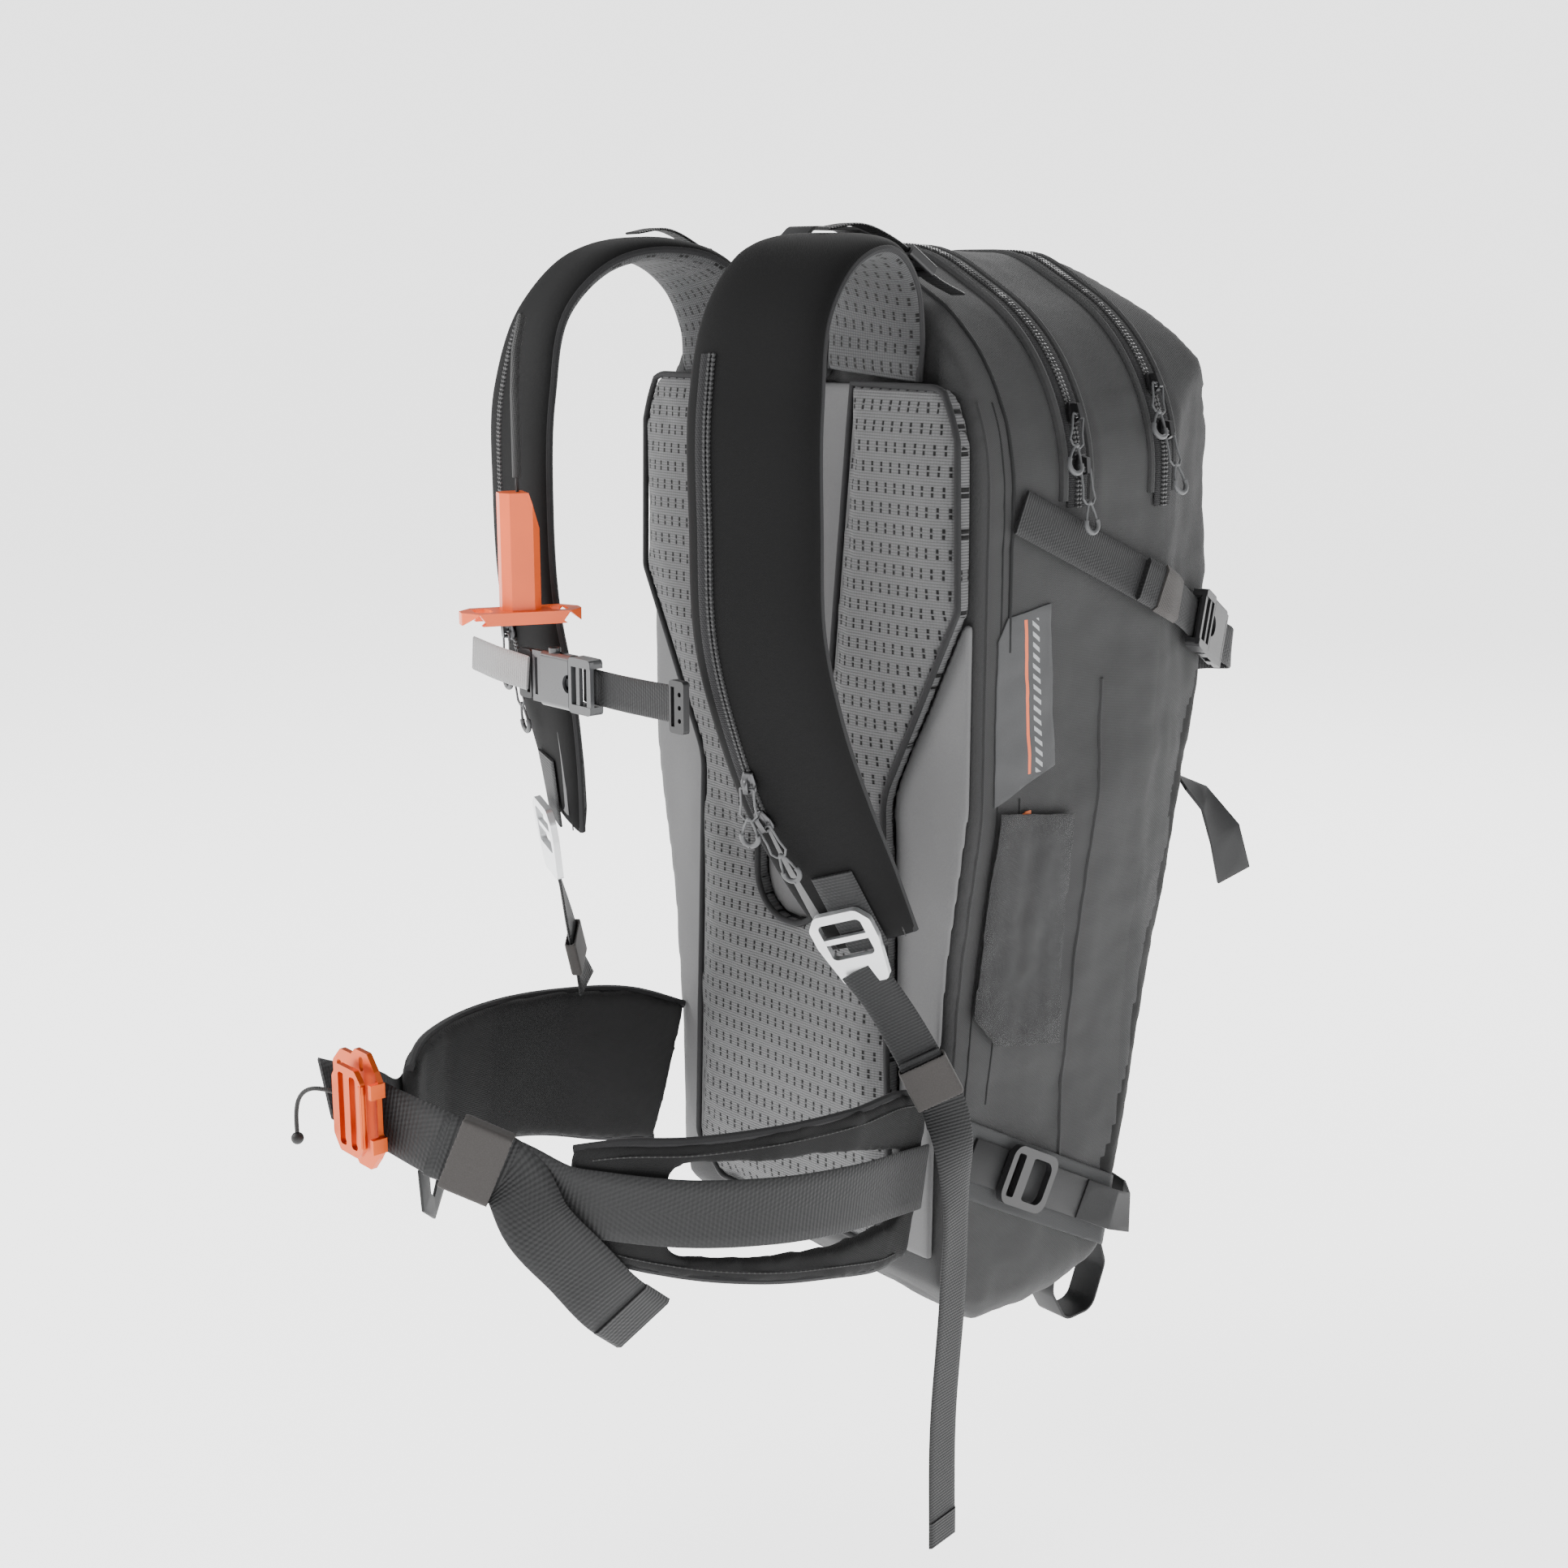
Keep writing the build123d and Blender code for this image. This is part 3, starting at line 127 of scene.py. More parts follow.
class Finish:
    """One material, built from nodes."""

    def __init__(self, name):
        self.material = bpy.data.materials.new(name)
        self.material.use_nodes = True
        self.tree = self.material.node_tree
        self.shader = next(n for n in self.tree.nodes if n.type == "BSDF_PRINCIPLED")

    def node(self, kind, settings=None, **sockets):
        made = self.tree.nodes.new(kind)
        for key, value in (settings or {}).items():
            setattr(made, key, value)
        for key, value in sockets.items():
            numbered = key[0] == "i" and key[1:].isdigit()
            self.feed(made.inputs[int(key[1:]) if numbered else key.replace("_", " ")], value)
        return made

    def feed(self, socket, value):
        if isinstance(value, Num):
            value = value.socket
        if isinstance(value, bpy.types.NodeSocket):
            self.tree.links.new(value, socket)
        else:
            socket.default_value = value

    def maths(self, what, a, b=0.0):
        made = self.node("ShaderNodeMath", {"operation": what}, i0=a)
        if what not in ("ABSOLUTE", "FRACT", "FLOOR", "SINE"):
            self.feed(made.inputs[1], b)
        return Num(self, made.outputs[0])

    def place(self, kind="Object"):
        """x, y, z in millimetres, of the object or along the piece's own length and width."""
        made = self.node("ShaderNodeTexCoord").outputs[kind]
        split = self.node("ShaderNodeSeparateXYZ", i0=made)
        return made, [Num(self, split.outputs[i]) * 1000.0 for i in range(3)]

    def cloud(self, spot, scale, detail=2.0):
        made = self.node("ShaderNodeTexNoise", {}, Vector=spot, Scale=scale, Detail=detail)
        return Num(self, made.outputs["Fac"])

    def mix(self, share, a, b):
        made = self.node("ShaderNodeMix", {"data_type": "RGBA"}, i0=share)
        self.feed(made.inputs[6], a if not isinstance(a, tuple) else (*a, 1))
        self.feed(made.inputs[7], b if not isinstance(b, tuple) else (*b, 1))
        return made.outputs[2]

    def relief(self, height, deep, strength=1.0):
        made = self.node("ShaderNodeBump", {}, Height=height)
        made.inputs["Distance"].default_value = deep
        made.inputs["Strength"].default_value = strength
        return made.outputs[0]

    def done(self, colour, rough, relief=None, sheen=0.0, coat=0.0, metal=0.0, alpha=None, gleam=0.5):
        s = self.shader
        self.feed(s.inputs["Base Color"], (*colour, 1) if isinstance(colour, tuple) else colour)
        self.feed(s.inputs["Roughness"], rough)
        self.feed(s.inputs["Metallic"], metal)
        if relief is not None:
            self.feed(s.inputs["Normal"], relief)
        s.inputs["Sheen Weight"].default_value = sheen
        s.inputs["Sheen Roughness"].default_value = 0.5
        s.inputs["Coat Weight"].default_value = coat
        s.inputs["Specular IOR Level"].default_value = gleam
        if alpha is not None:
            self.feed(s.inputs["Alpha"], alpha)
        return self.material


TURN = 2 * math.pi


def shade(colour, by):
    return tuple(c * by for c in colour)


def woven(name, colour, pitch=1.3, rough=0.82, sheen=0.12, slant=1.0, painted_sheen_share=0.25):
    """Fine diagonal twill with a heathered yarn."""
    f = Finish(name)
    spot, (x, y, z) = f.place()
    yarn = f.cloud(spot, 2600.0, 1.0)
    sheen_patches = f.cloud(spot, 9.0, 3.0)
    rib = ((x * slant + y * slant + z) * (TURN / pitch)).sine()
    cross = ((x + y - z * 1.7) * (TURN / (pitch * 1.6))).sine()
    tone = f.mix(yarn * 0.9, shade(colour, 0.72), shade(colour, 1.3))
    tone = f.mix((rib * 0.5 + 0.5) * 0.22, tone, shade(colour, 0.55))
    # large soft patches lightened: painted sheen (the same cloud also varies the roughness)
    tone = f.mix(sheen_patches * painted_sheen_share, tone, shade(colour, 1.35))
    height = rib * 0.6 + cross * 0.25 + yarn * 0.5
    return f.done(tone, sheen_patches * 0.1 + (rough - 0.05), f.relief(height, 0.00025, 0.5), sheen, gleam=0.25)


def webbed(name, colour, pitch=1.9, rough=0.6, sheen=0.1):
    """Woven webbing: cross ribs along its length and a plain selvedge."""
    f = Finish(name)
    spot, (along, over, _) = f.place("UV")
    obj_spot, _xyz = f.place()
    yarn = f.cloud(obj_spot, 1500.0, 1.0)
    rib = (along * (TURN / pitch)).sine()
    chevron = ((along * 0.9 + abs(over) * 1.6) * (TURN / (pitch * 1.9))).sine()
    tone = f.mix(yarn, shade(colour, 0.75), shade(colour, 1.25))
    tone = f.mix((rib * 0.5 + 0.5) * 0.35, tone, shade(colour, 0.5))
    tone = f.mix(f.cloud(obj_spot, 14.0, 2.0) * 0.3, tone, shade(colour, 1.4))
    height = rib * 0.7 + chevron * 0.3 + yarn * 0.3
    return f.done(tone, rough, f.relief(height, 0.0003, 0.6), sheen, gleam=0.3)


def spacer_mesh(name, colour, across=7.0, down=11.0, by_length=False):
    """Knitted spacer mesh with staggered upright slots; the slots are painted near-black and their rims
    darkened, as painted shade in the holes.
    """
    f = Finish(name)
    obj_spot, (x, y, z) = f.place()
    if by_length:
        _, (z, x, _w) = f.place("UV")
    row = z / down
    odd = ((row.whole()) * 0.5).part()
    col = (x / across + odd).part() - 0.5
    tall = row.part() - 0.5
    pair = abs(abs(tall) - 0.15)
    slot = (abs(col) < 0.105) * (pair < 0.105)
    lip = (abs(col) < 0.17) * (pair < 0.13) - slot
    ribs = (z * (TURN / 1.6)).sine()
    fine = (x * (TURN / 1.9)).sine()
    yarn = f.cloud(obj_spot, 1800.0, 1.0)
    tone = f.mix(yarn, shade(colour, 0.7), shade(colour, 1.25))
    tone = f.mix((ribs * 0.5 + 0.5) * 0.5, tone, shade(colour, 0.45))
    # darker rims round the slots and near-black slots: painted shade in the holes
    tone = f.mix(lip * 0.5, tone, shade(colour, 0.5))
    tone = f.mix(slot, tone, (0.004, 0.004, 0.004))
    height = ribs * 0.35 + fine * 0.15 - slot * 1.6 - lip * 0.5
    return f.done(tone, 0.8, f.relief(height, 0.0006, 0.8), 0.05, gleam=0.3)


def knitted(name, colour, rough=0.85, sheen=0.2, grain=900.0):
    """Smooth softshell or lining knit."""
    f = Finish(name)
    spot, (x, y, z) = f.place()
    yarn = f.cloud(spot, grain * 2, 2.0)
    soft = f.cloud(spot, 12.0, 2.0)
    rib = ((x + y * 0.6) * (TURN / 1.1)).sine() * ((z) * (TURN / 1.1)).sine()
    tone = f.mix(yarn, shade(colour, 0.8), shade(colour, 1.2))
    tone = f.mix(soft * 0.3, tone, shade(colour, 1.3))
    return f.done(tone, rough, f.relief(rib * 0.4 + yarn * 0.6, 0.00018, 0.5), sheen, gleam=0.2)


def moulded(name, colour, rough=0.42, grain=0.35, coat=0.0):
    """Injection-moulded plastic with a fine spark-eroded grain."""
    f = Finish(name)
    spot, _ = f.place()
    fine = f.cloud(spot, 1400.0, 2.0)
    soft = f.cloud(spot, 35.0, 2.0)
    tone = f.mix(soft, shade(colour, 0.9), shade(colour, 1.1))
    return f.done(tone, fine * 0.12 + soft * 0.08 + (rough - 0.1), f.relief(fine, 0.00008, grain), 0, coat)


def metal(name, colour, rough=0.35, grain=0.3, brushed=False, coat=0.0):
    f = Finish(name)
    spot, (x, y, z) = f.place()
    fine = f.cloud(spot, 1600.0, 2.0)
    soft = f.cloud(spot, 60.0, 3.0)
    if brushed:
        fine = ((z * 31.0 + fine * 3).sine() + 1.0) * 0.5
    tone = f.mix(soft, shade(colour, 0.86), shade(colour, 1.12))
    rough = soft * 0.15 + fine * 0.1 + (rough - 0.12)
    return f.done(tone, rough, f.relief(fine, 0.00005, grain), coat=coat, metal=1.0)


def sewing(name, thread, ground, pitch=3.2):
    """A row of stitches: thread, then a short gap where it dips into the cloth."""
    f = Finish(name)
    _, (along, _o, _w) = f.place("UV")
    dash = (along / pitch).part() < 0.68
    tone = f.mix(dash, ground, thread)
    return f.done(tone, 0.7, f.relief(dash * 1.0, 0.0003, 0.8))


def braid(name, colour):
    f = Finish(name)
    spot, (x, y, z) = f.place()
    twist = ((x + z * 0.8) * (TURN / 1.4)).sine() * ((y - z) * (TURN / 1.4)).sine()
    tone = f.mix(twist * 0.5 + 0.5, shade(colour, 0.6), shade(colour, 1.5))
    return f.done(tone, 0.6, f.relief(twist, 0.0002, 0.7), 0.1)


def patch_print(name, colour):
    """Softshell patch with plain printed bars: short grey ones beside one orange line."""
    f = Finish(name)
    spot, (x, y, z) = f.place()
    up = z + 649.0
    out = y + 6.0 + (up - 395.0) * 0.085
    inside = (up > 352.0) * (up < 440.0)
    bars = ((up + out * 0.7) / 6.0).part() < 0.45
    grey = bars * (out > 45.0) * (out < 51.0) * inside
    line = (out > 38.5) * (out < 41.0) * inside
    yarn = f.cloud(spot, 2200.0, 1.0)
    tone = f.mix(yarn, shade(colour, 0.8), shade(colour, 1.2))
    tone = f.mix(grey * 0.85, tone, (0.42, 0.43, 0.44))
    tone = f.mix(line * 0.9, tone, (0.85, 0.16, 0.05))
    return f.done(tone, 0.75, f.relief(yarn + grey + line, 0.0002, 0.4), 0.1)


def see_through(name, colour):
    """Fine net panel: a dense knit that lets a little of what lies behind it through."""
    f = Finish(name)
    spot, (x, y, z) = f.place()
    net = ((y + z) * (TURN / 1.6)).sine() * ((y - z) * (TURN / 1.6)).sine()
    tone = f.mix(net * 0.5 + 0.5, shade(colour, 0.8), shade(colour, 1.3))
    hole = (net > 0.35) * 0.3
    return f.done(tone, 0.8, f.relief(net, 0.0002, 0.5), 0.1, alpha=1.0 - hole - 0.06, gleam=0.2)


LOOK = {
    "body": woven("body_fabric", (0.044, 0.0443, 0.045), sheen=0.03),
    "front": woven("front_fabric", (0.04, 0.0403, 0.041), pitch=1.7, sheen=0.03),
    "hood": woven("hood_fabric", (0.045, 0.0453, 0.046), pitch=1.0, sheen=0.03),
    "welt": woven("welt_fabric", (0.02, 0.0205, 0.021), pitch=1.0, sheen=0.02),
    "mesh": spacer_mesh("pad_mesh", (0.145, 0.146, 0.148)),
    "strap_mesh": spacer_mesh("strap_mesh", (0.07, 0.071, 0.073), by_length=True),
    "lining": knitted("lining_knit", (0.14, 0.1405, 0.142), sheen=0.05),
    "softshell": knitted("softshell_knit", (0.045, 0.046, 0.047), sheen=0.05),
    "strap_face": knitted("strap_face_knit", (0.005, 0.005, 0.0052), sheen=0.0),
    "binding": knitted("binding_tape", (0.022, 0.022, 0.023), 0.7, 0.04),
    # wing fabric made much darker than the body's: painted shade for the wings' shadowed inner faces
    "wing": woven("wing_fabric", (0.013, 0.0131, 0.0134), pitch=1.2, sheen=0.02),
    "webbing": webbed("dark_webbing", (0.017, 0.0173, 0.018), sheen=0.02),
    "belt": webbed("belt_webbing", (0.02, 0.0203, 0.021), pitch=2.4, sheen=0.02),
    "light_webbing": webbed("light_webbing", (0.30, 0.30, 0.30), pitch=1.6, rough=0.7),
    "elastic": webbed("elastic_band", (0.055, 0.051, 0.049), pitch=1.1, rough=0.85),
    "tape": webbed("zip_tape", (0.014, 0.014, 0.015), pitch=1.2, rough=0.8),
    "coil": moulded("zip_coil", (0.02, 0.02, 0.021), 0.38, 0.15),
    "gunmetal": metal("gunmetal", (0.1, 0.1, 0.103), 0.36, 0.4),
    "pull_end": moulded("pull_end", (0.09, 0.092, 0.095), 0.45),
    "grey_plastic": moulded("buckle_plastic", (0.075, 0.077, 0.08), 0.3, 0.2, 0.2),
    "dark_plastic": moulded("dark_plastic", (0.018, 0.018, 0.019), 0.4),
    "rubber": moulded("rubber_trim", (0.012, 0.012, 0.012), 0.55),
    # near-black knit laid on the front panel's sides and the body's front edge: painted shadow standing in
    # for a side gusset in shade
    "painted_shadow": knitted("painted_shadow_sheet", (0.0012, 0.0012, 0.0012), 0.75, 0.0),
    "cast": metal("pale_cast", (0.82, 0.83, 0.84), 0.42, 0.25),
    "orange_plate": metal("orange_anodised", (0.62, 0.1, 0.02), 0.42, 0.4, coat=0.1),
    "orange_grip": moulded("orange_grip", (0.92, 0.13, 0.022), 0.36, 0.3, 0.1),
    "cord": braid("black_cord", (0.012, 0.012, 0.012)),
    "steel": metal("steel", (0.5, 0.5, 0.51), 0.3, 0.3, True),
    "alloy": metal("alloy", (0.7, 0.7, 0.72), 0.35, 0.3, True),
    "sheet": moulded("back_sheet", (0.03, 0.03, 0.032), 0.5),
    "airbag": woven("airbag_cloth", (0.8, 0.16, 0.05), pitch=0.9, rough=0.6, sheen=0.05),
    "leg_strap": webbed("leg_strap_webbing", (0.62, 0.15, 0.05)),
    "inner": moulded("housing_plastic", (0.025, 0.025, 0.027), 0.45),
    "cells": moulded("cell_sleeve", (0.03, 0.045, 0.16), 0.3, 0.1, 0.3),
    "patch": patch_print("side_patch", (0.05, 0.051, 0.053)),
    "net": see_through("pocket_net", (0.034, 0.0343, 0.035)),
    "dark_stitch": sewing("dark_stitches", (0.012, 0.012, 0.012), (0.04, 0.04, 0.04)),
}


def dress(piece, *looks):
    piece.data.materials.clear()
    for look in looks:
        piece.data.materials.append(LOOK[look])
    return piece


def own(piece, body, stands_for=()):
    """Fixes a finished piece to its body, and hides the CAD parts it stands for."""
    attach(piece, body)
    if stands_for:
        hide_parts(*stands_for)
    return piece


# ---- ways of making -----------------------------------------------------------------
def smooth_shade(piece, angle=40):
    pick_up(piece)
    bpy.ops.object.shade_smooth_by_angle(angle=math.radians(angle))
    return piece


def apply_all(piece):
    pick_up(piece)
    for m in list(piece.modifiers):
        bpy.ops.object.modifier_apply(modifier=m.name)
    return piece


def joined(name, pieces):
    put_down()
    for p in pieces:
        p.select_set(True)
    bpy.context.view_layer.objects.active = pieces[0]
    bpy.ops.object.join()
    pieces[0].name = name
    return pieces[0]


def copy_of(node, name):
    """The CAD solid of a node as a clean mesh of its own."""
    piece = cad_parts[node].copy()
    piece.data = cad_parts[node].data.copy()
    piece.name = name
    piece.parent = None
    piece.hide_viewport = piece.hide_render = False
    for key in list(piece.keys()):
        if key.startswith("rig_"):
            del piece[key]
    bpy.context.scene.collection.objects.link(piece)
    piece.matrix_world = Matrix.Identity(4)
    pick_up(piece)
    bpy.ops.object.mode_set(mode="EDIT")
    bpy.ops.mesh.select_all(action="SELECT")
    bpy.ops.mesh.remove_doubles(threshold=0.00002)
    bpy.ops.mesh.normals_make_consistent(inside=False)
    bpy.ops.object.mode_set(mode="OBJECT")
    return piece


def outer_skin(piece):
    """Only the outermost closed surface of a hollow solid."""
    b = bmesh.new()
    b.from_mesh(piece.data)
    left, shells = set(b.verts), []
    while left:
        todo, shell = [left.pop()], []
        while todo:
            v = todo.pop()
            shell.append(v)
            for e in v.link_edges:
                w = e.other_vert(v)
                if w in left:
                    left.remove(w)
                    todo.append(w)
        shells.append(shell)
    shells.sort(key=lambda s: max(v.co.x for v in s) - min(v.co.x for v in s))
    for shell in shells[:-1]:
        bmesh.ops.delete(b, geom=shell, context="VERTS")
    b.to_mesh(piece.data)
    b.free()
    return piece


def softened(piece, voxel=0.004, rounds=6, swell=0.0):
    """Remeshed fine, with its edges eased, as sewn and padded cloth is."""
    pick_up(piece)
    m = piece.modifiers.new("fine", "REMESH")
    m.mode, m.voxel_size = "VOXEL", voxel
    apply_all(piece)
    m = piece.modifiers.new("ease", "SMOOTH")
    m.factor, m.iterations = 0.5, rounds
    if swell:
        d = piece.modifiers.new("swell", "DISPLACE")
        d.strength, d.mid_level = swell, 0.0
    return smooth_shade(apply_all(piece), 60)


def folded(piece, amount, stretch=(1, 1, 1), size=60.0, keep=None, seed=0.0):
    """Moves the cloth in and out by long soft folds."""
    mesh = piece.data
    normals = [v.normal.copy() for v in mesh.vertices]
    for v, n in zip(mesh.vertices, normals):
        p = back_to_mm(v.co)
        q = Vector((p.x * stretch[0], p.y * stretch[1], p.z * stretch[2])) / size
        q += Vector((seed, seed, seed))
        lift = noise.noise(q) + 0.45 * noise.noise(q * 2.3 + Vector((7, 3, 1)))
        lift += 0.2 * noise.noise(q * 5.1)
        share = keep(p) if keep else 1.0
        v.co += n * (lift * amount * share * MM)
    mesh.update()
    return piece


def puffed(piece, pressure=4.0, cap=0.006, frames=16, pinned=None):
    """Cloth simulation with air pressure; no point may move further than the cap."""
    before = [v.co.copy() for v in piece.data.vertices]
    if pinned:
        group = piece.vertex_groups.new(name="pinned")
        for v in piece.data.vertices:
            if pinned(back_to_mm(v.co)):
                group.add([v.index], 1.0, "REPLACE")
    m = piece.modifiers.new("air", "CLOTH")
    m.settings.use_pressure = True
    m.settings.uniform_pressure_force = pressure
    m.settings.quality = 5
    m.settings.effector_weights.gravity = 0
    m.settings.mass = 0.25
    m.settings.tension_stiffness = 30
    m.settings.compression_stiffness = 30
    m.settings.bending_stiffness = 1.0
    m.point_cache.frame_end = frames
    if pinned:
        m.settings.vertex_group_mass = "pinned"
    for f in range(1, frames + 1):
        bpy.context.scene.frame_set(f)
    pick_up(piece)
    bpy.ops.object.modifier_apply(modifier=m.name)
    bpy.context.scene.frame_set(1)
    for v, p in zip(piece.data.vertices, before):
        move = v.co - p
        if move.length > cap:
            v.co = p + move.normalized() * cap
    return smooth_shade(piece, 60)


class Spot:
    """A place on a run: position, direction, outward side, cross direction and width."""

    def __init__(self, place, run, out, wide, far):
        self.place, self.run, self.wide, self.far = place, run.normalized(), wide, far
        self.over = out.cross(self.run).normalized() * -1
        self.out = self.run.cross(self.over).normalized() * -1
        if self.out.dot(out) < 0:
            self.out.negate()

    def spot(self, over=0.0, out=0.0):
        return self.place + self.over * over + self.out * out


def course(stations, step=5.0):
    """Smooth run through (point mm, outward, width mm) stations, as Spots."""
    p = [Vector((*at(*s[0]), *[c for c in Vector(s[1]).normalized()], s[2] * MM)) for s in stations]
    return smooth_run(p, step)


def smooth_run(p, step=5.0):
    t = [0.0]
    for a, b in zip(p, p[1:]):
        t.append(t[-1] + max((Vector(b[:3]) - Vector(a[:3])).length, 1e-6))
    slopes = []
    for i in range(len(p)):
        if i == 0:
            slopes.append((p[1] - p[0]) / (t[1] - t[0]))
        elif i == len(p) - 1:
            slopes.append((p[-1] - p[-2]) / (t[-1] - t[-2]))
        else:
            a, b = t[i] - t[i - 1], t[i + 1] - t[i]
            slopes.append(((p[i] - p[i - 1]) / a * b + (p[i + 1] - p[i]) / b * a) / (a + b))
    out, far, last = [], 0.0, None
    for i in range(len(p) - 1):
        gap = t[i + 1] - t[i]
        n = max(1, round(gap / (step * MM)))
        for k in range(n + (i == len(p) - 2)):
            u = k / n
            a, b = (2 * u**3 - 3 * u**2 + 1), (u**3 - 2 * u**2 + u) * gap
            c, d = (-2 * u**3 + 3 * u**2), (u**3 - u**2) * gap
            value = p[i] * a + slopes[i] * b + p[i + 1] * c + slopes[i + 1] * d
            da, db = (6 * u**2 - 6 * u) / gap, (3 * u**2 - 4 * u + 1)
            dc, dd = (-6 * u**2 + 6 * u) / gap, (3 * u**2 - 2 * u)
            rate = p[i] * da + slopes[i] * db + p[i + 1] * dc + slopes[i + 1] * dd
            place = Vector(value[:3])
            far += (place - last).length if last else 0.0
            last = place
            out.append(Spot(place, Vector(rate[:3]), Vector(value[3:6]), value[6], far))
    return out


def loft(name, spots, section, looks=("webbing",), shut=True):
    """Lays a closed section (over, out, part) along a run, from a grid whose ends are shut."""
    first = section(spots[0], 0.0)
    n, rows = len(first), len(spots)
    put_down()
    bpy.ops.mesh.primitive_grid_add(x_subdivisions=n, y_subdivisions=rows - 1, size=1)
    piece = bpy.context.object
    piece.name = name
    mesh = piece.data
    total = spots[-1].far
    sections = [section(s, s.far / total if total else 0.0) for s in spots]
    where, uv = [], []
    for v in mesh.vertices:
        i = round((v.co.x + 0.5) * n)
        j = round((v.co.y + 0.5) * (rows - 1))
        over, out, _ = sections[j][i % n]
        where.append(spots[j].spot(over, out))
        uv.append((spots[j].far, over, i, j))
    parts = []
    for face in mesh.polygons:
        low = min(uv[v][2] for v in face.vertices)
        parts.append(first[low % n][2])
    layer = mesh.uv_layers.active.data
    for loop in mesh.loops:
        layer[loop.index].uv = uv[loop.vertex_index][:2]
    for v, w in zip(mesh.vertices, where):
        v.co = w
    dress(piece, *looks)
    for face, part in zip(mesh.polygons, parts):
        face.material_index = min(part, len(looks) - 1)
    bpy.ops.object.mode_set(mode="EDIT")
    bpy.ops.mesh.select_all(action="SELECT")
    bpy.ops.mesh.remove_doubles(threshold=0.000002)
    if shut:
        bpy.ops.mesh.select_all(action="DESELECT")
        bpy.ops.mesh.select_non_manifold()
        bpy.ops.mesh.fill_holes(sides=0)
        bpy.ops.mesh.select_all(action="SELECT")
    bpy.ops.mesh.normals_make_consistent(inside=False)
    bpy.ops.object.mode_set(mode="OBJECT")
    return smooth_shade(piece)


def flat(thick, cells=6):
    """Section of flat webbing with eased edges."""
    def section(spot, share):
        half, t = spot.wide / 2, thick * MM / 2
        e = min(t * 1.2, half * 0.3)
        steps = [-half + e + (2 * half - 2 * e) * k / cells for k in range(cells + 1)]
        top = [(-half, 0.0, 0)] + [(a, t, 0) for a in steps]
        return top + [(half, 0.0, 0)] + [(a, -t, 1) for a in reversed(steps)]
    return section


def cushion(thick, cells=14, power=4.0, back=0.8, ends=0.03):
    """Section of a padded strap: crowned outside, flatter inside, pinched at its edges."""
    def section(spot, share):
        half, t = spot.wide / 2, thick * MM / 2
        near_end = min(share, 1 - share) / ends
        t *= 0.35 + 0.65 * min(1.0, max(0.0, near_end)) ** 0.5
        top, low = [], []
        for k in range(cells + 1):
            u = -math.cos(math.pi * k / cells)
            h = max(0.0, 1 - abs(u) ** power) ** 0.5
            top.append((u * half, h * t + 0.0006, 0))
            low.append((u * half, -h * t * back - 0.0006, 1))
        return top + low[::-1]
    return section


def round_section(radius, sides=8, wave=0.0, pitch=2.4):
    def section(spot, share):
        r = radius * MM
        if wave:
            r *= 1 + wave * math.sin(TURN * spot.far / (pitch * MM))
        return [(r * math.cos(TURN * k / sides), r * math.sin(TURN * k / sides), 0) for k in range(sides)]
    return section


def beside(spots, over=0.0, out=0.0, share=None):
    """The same run moved sideways and outward, in mm; share moves it by a part of its width."""
    moved = []
    for s in spots:
        side = over * MM + (share * s.wide if share is not None else 0.0)
        moved.append(Vector((*s.spot(side, out * MM), *s.out, s.wide)))
    return respot(moved)


def respot(p):
    out, far = [], 0.0
    for i, v in enumerate(p):
        a, b = Vector(p[max(0, i - 1)][:3]), Vector(p[min(len(p) - 1, i + 1)][:3])
        far += (Vector(v[:3]) - Vector(p[i - 1][:3])).length if i else 0.0
        out.append(Spot(Vector(v[:3]), b - a, Vector(v[3:6]), v[6], far))
    return out


def piping(name, spots, radius, look, sides=8):
    return loft(name, spots, round_section(radius, sides), (look,))


def surface_run(piece, spot, facing, keep, lift=0.0, step=4.0, wide=10.0):
    """The line where a plane cuts a skin, in order, as Spots facing out of it."""
    b = bmesh.new()
    b.from_mesh(piece.data)
    cut = bmesh.ops.bisect_plane(b, geom=b.verts[:] + b.edges[:] + b.faces[:], plane_co=spot, plane_no=facing)
    edges = [e for e in cut["geom_cut"] if isinstance(e, bmesh.types.BMEdge)]
    edges = [e for e in edges if all(keep(back_to_mm(v.co)) for v in e.verts)]
    links = {}
    for e in edges:
        for v, w in ((e.verts[0], e.verts[1]), (e.verts[1], e.verts[0])):
            links.setdefault(v, []).append(w)
    ends = [v for v, ws in links.items() if len(ws) == 1]
    best = []
    for start in (ends or list(links)[:1]):
        path, seen = [start], {start}
        while True:
            ahead = [w for w in links[path[-1]] if w not in seen]
            if not ahead:
                break
            path.append(ahead[0])
            seen.add(ahead[0])
        if len(path) > len(best):
            best = path
    raw = [(v.co.copy(), v.normal.copy()) for v in best]
    b.free()
    if raw[0][0].x < raw[-1][0].x:
        raw.reverse()
    for _ in range(3):
        raw = [raw[0]] + [((raw[i - 1][0] + raw[i][0] * 2 + raw[i + 1][0]) / 4,
                           (raw[i - 1][1] + raw[i][1] * 2 + raw[i + 1][1]) / 4)
                          for i in range(1, len(raw) - 1)] + [raw[-1]]
    picked, far = [raw[0]], 0.0
    for (a, _), (c, n) in zip(raw, raw[1:]):
        far += (c - a).length
        if far >= step * MM:
            picked.append((c, n))
            far = 0.0
    return respot([Vector((*(p + n * lift * MM), *n, wide * MM)) for p, n in picked])


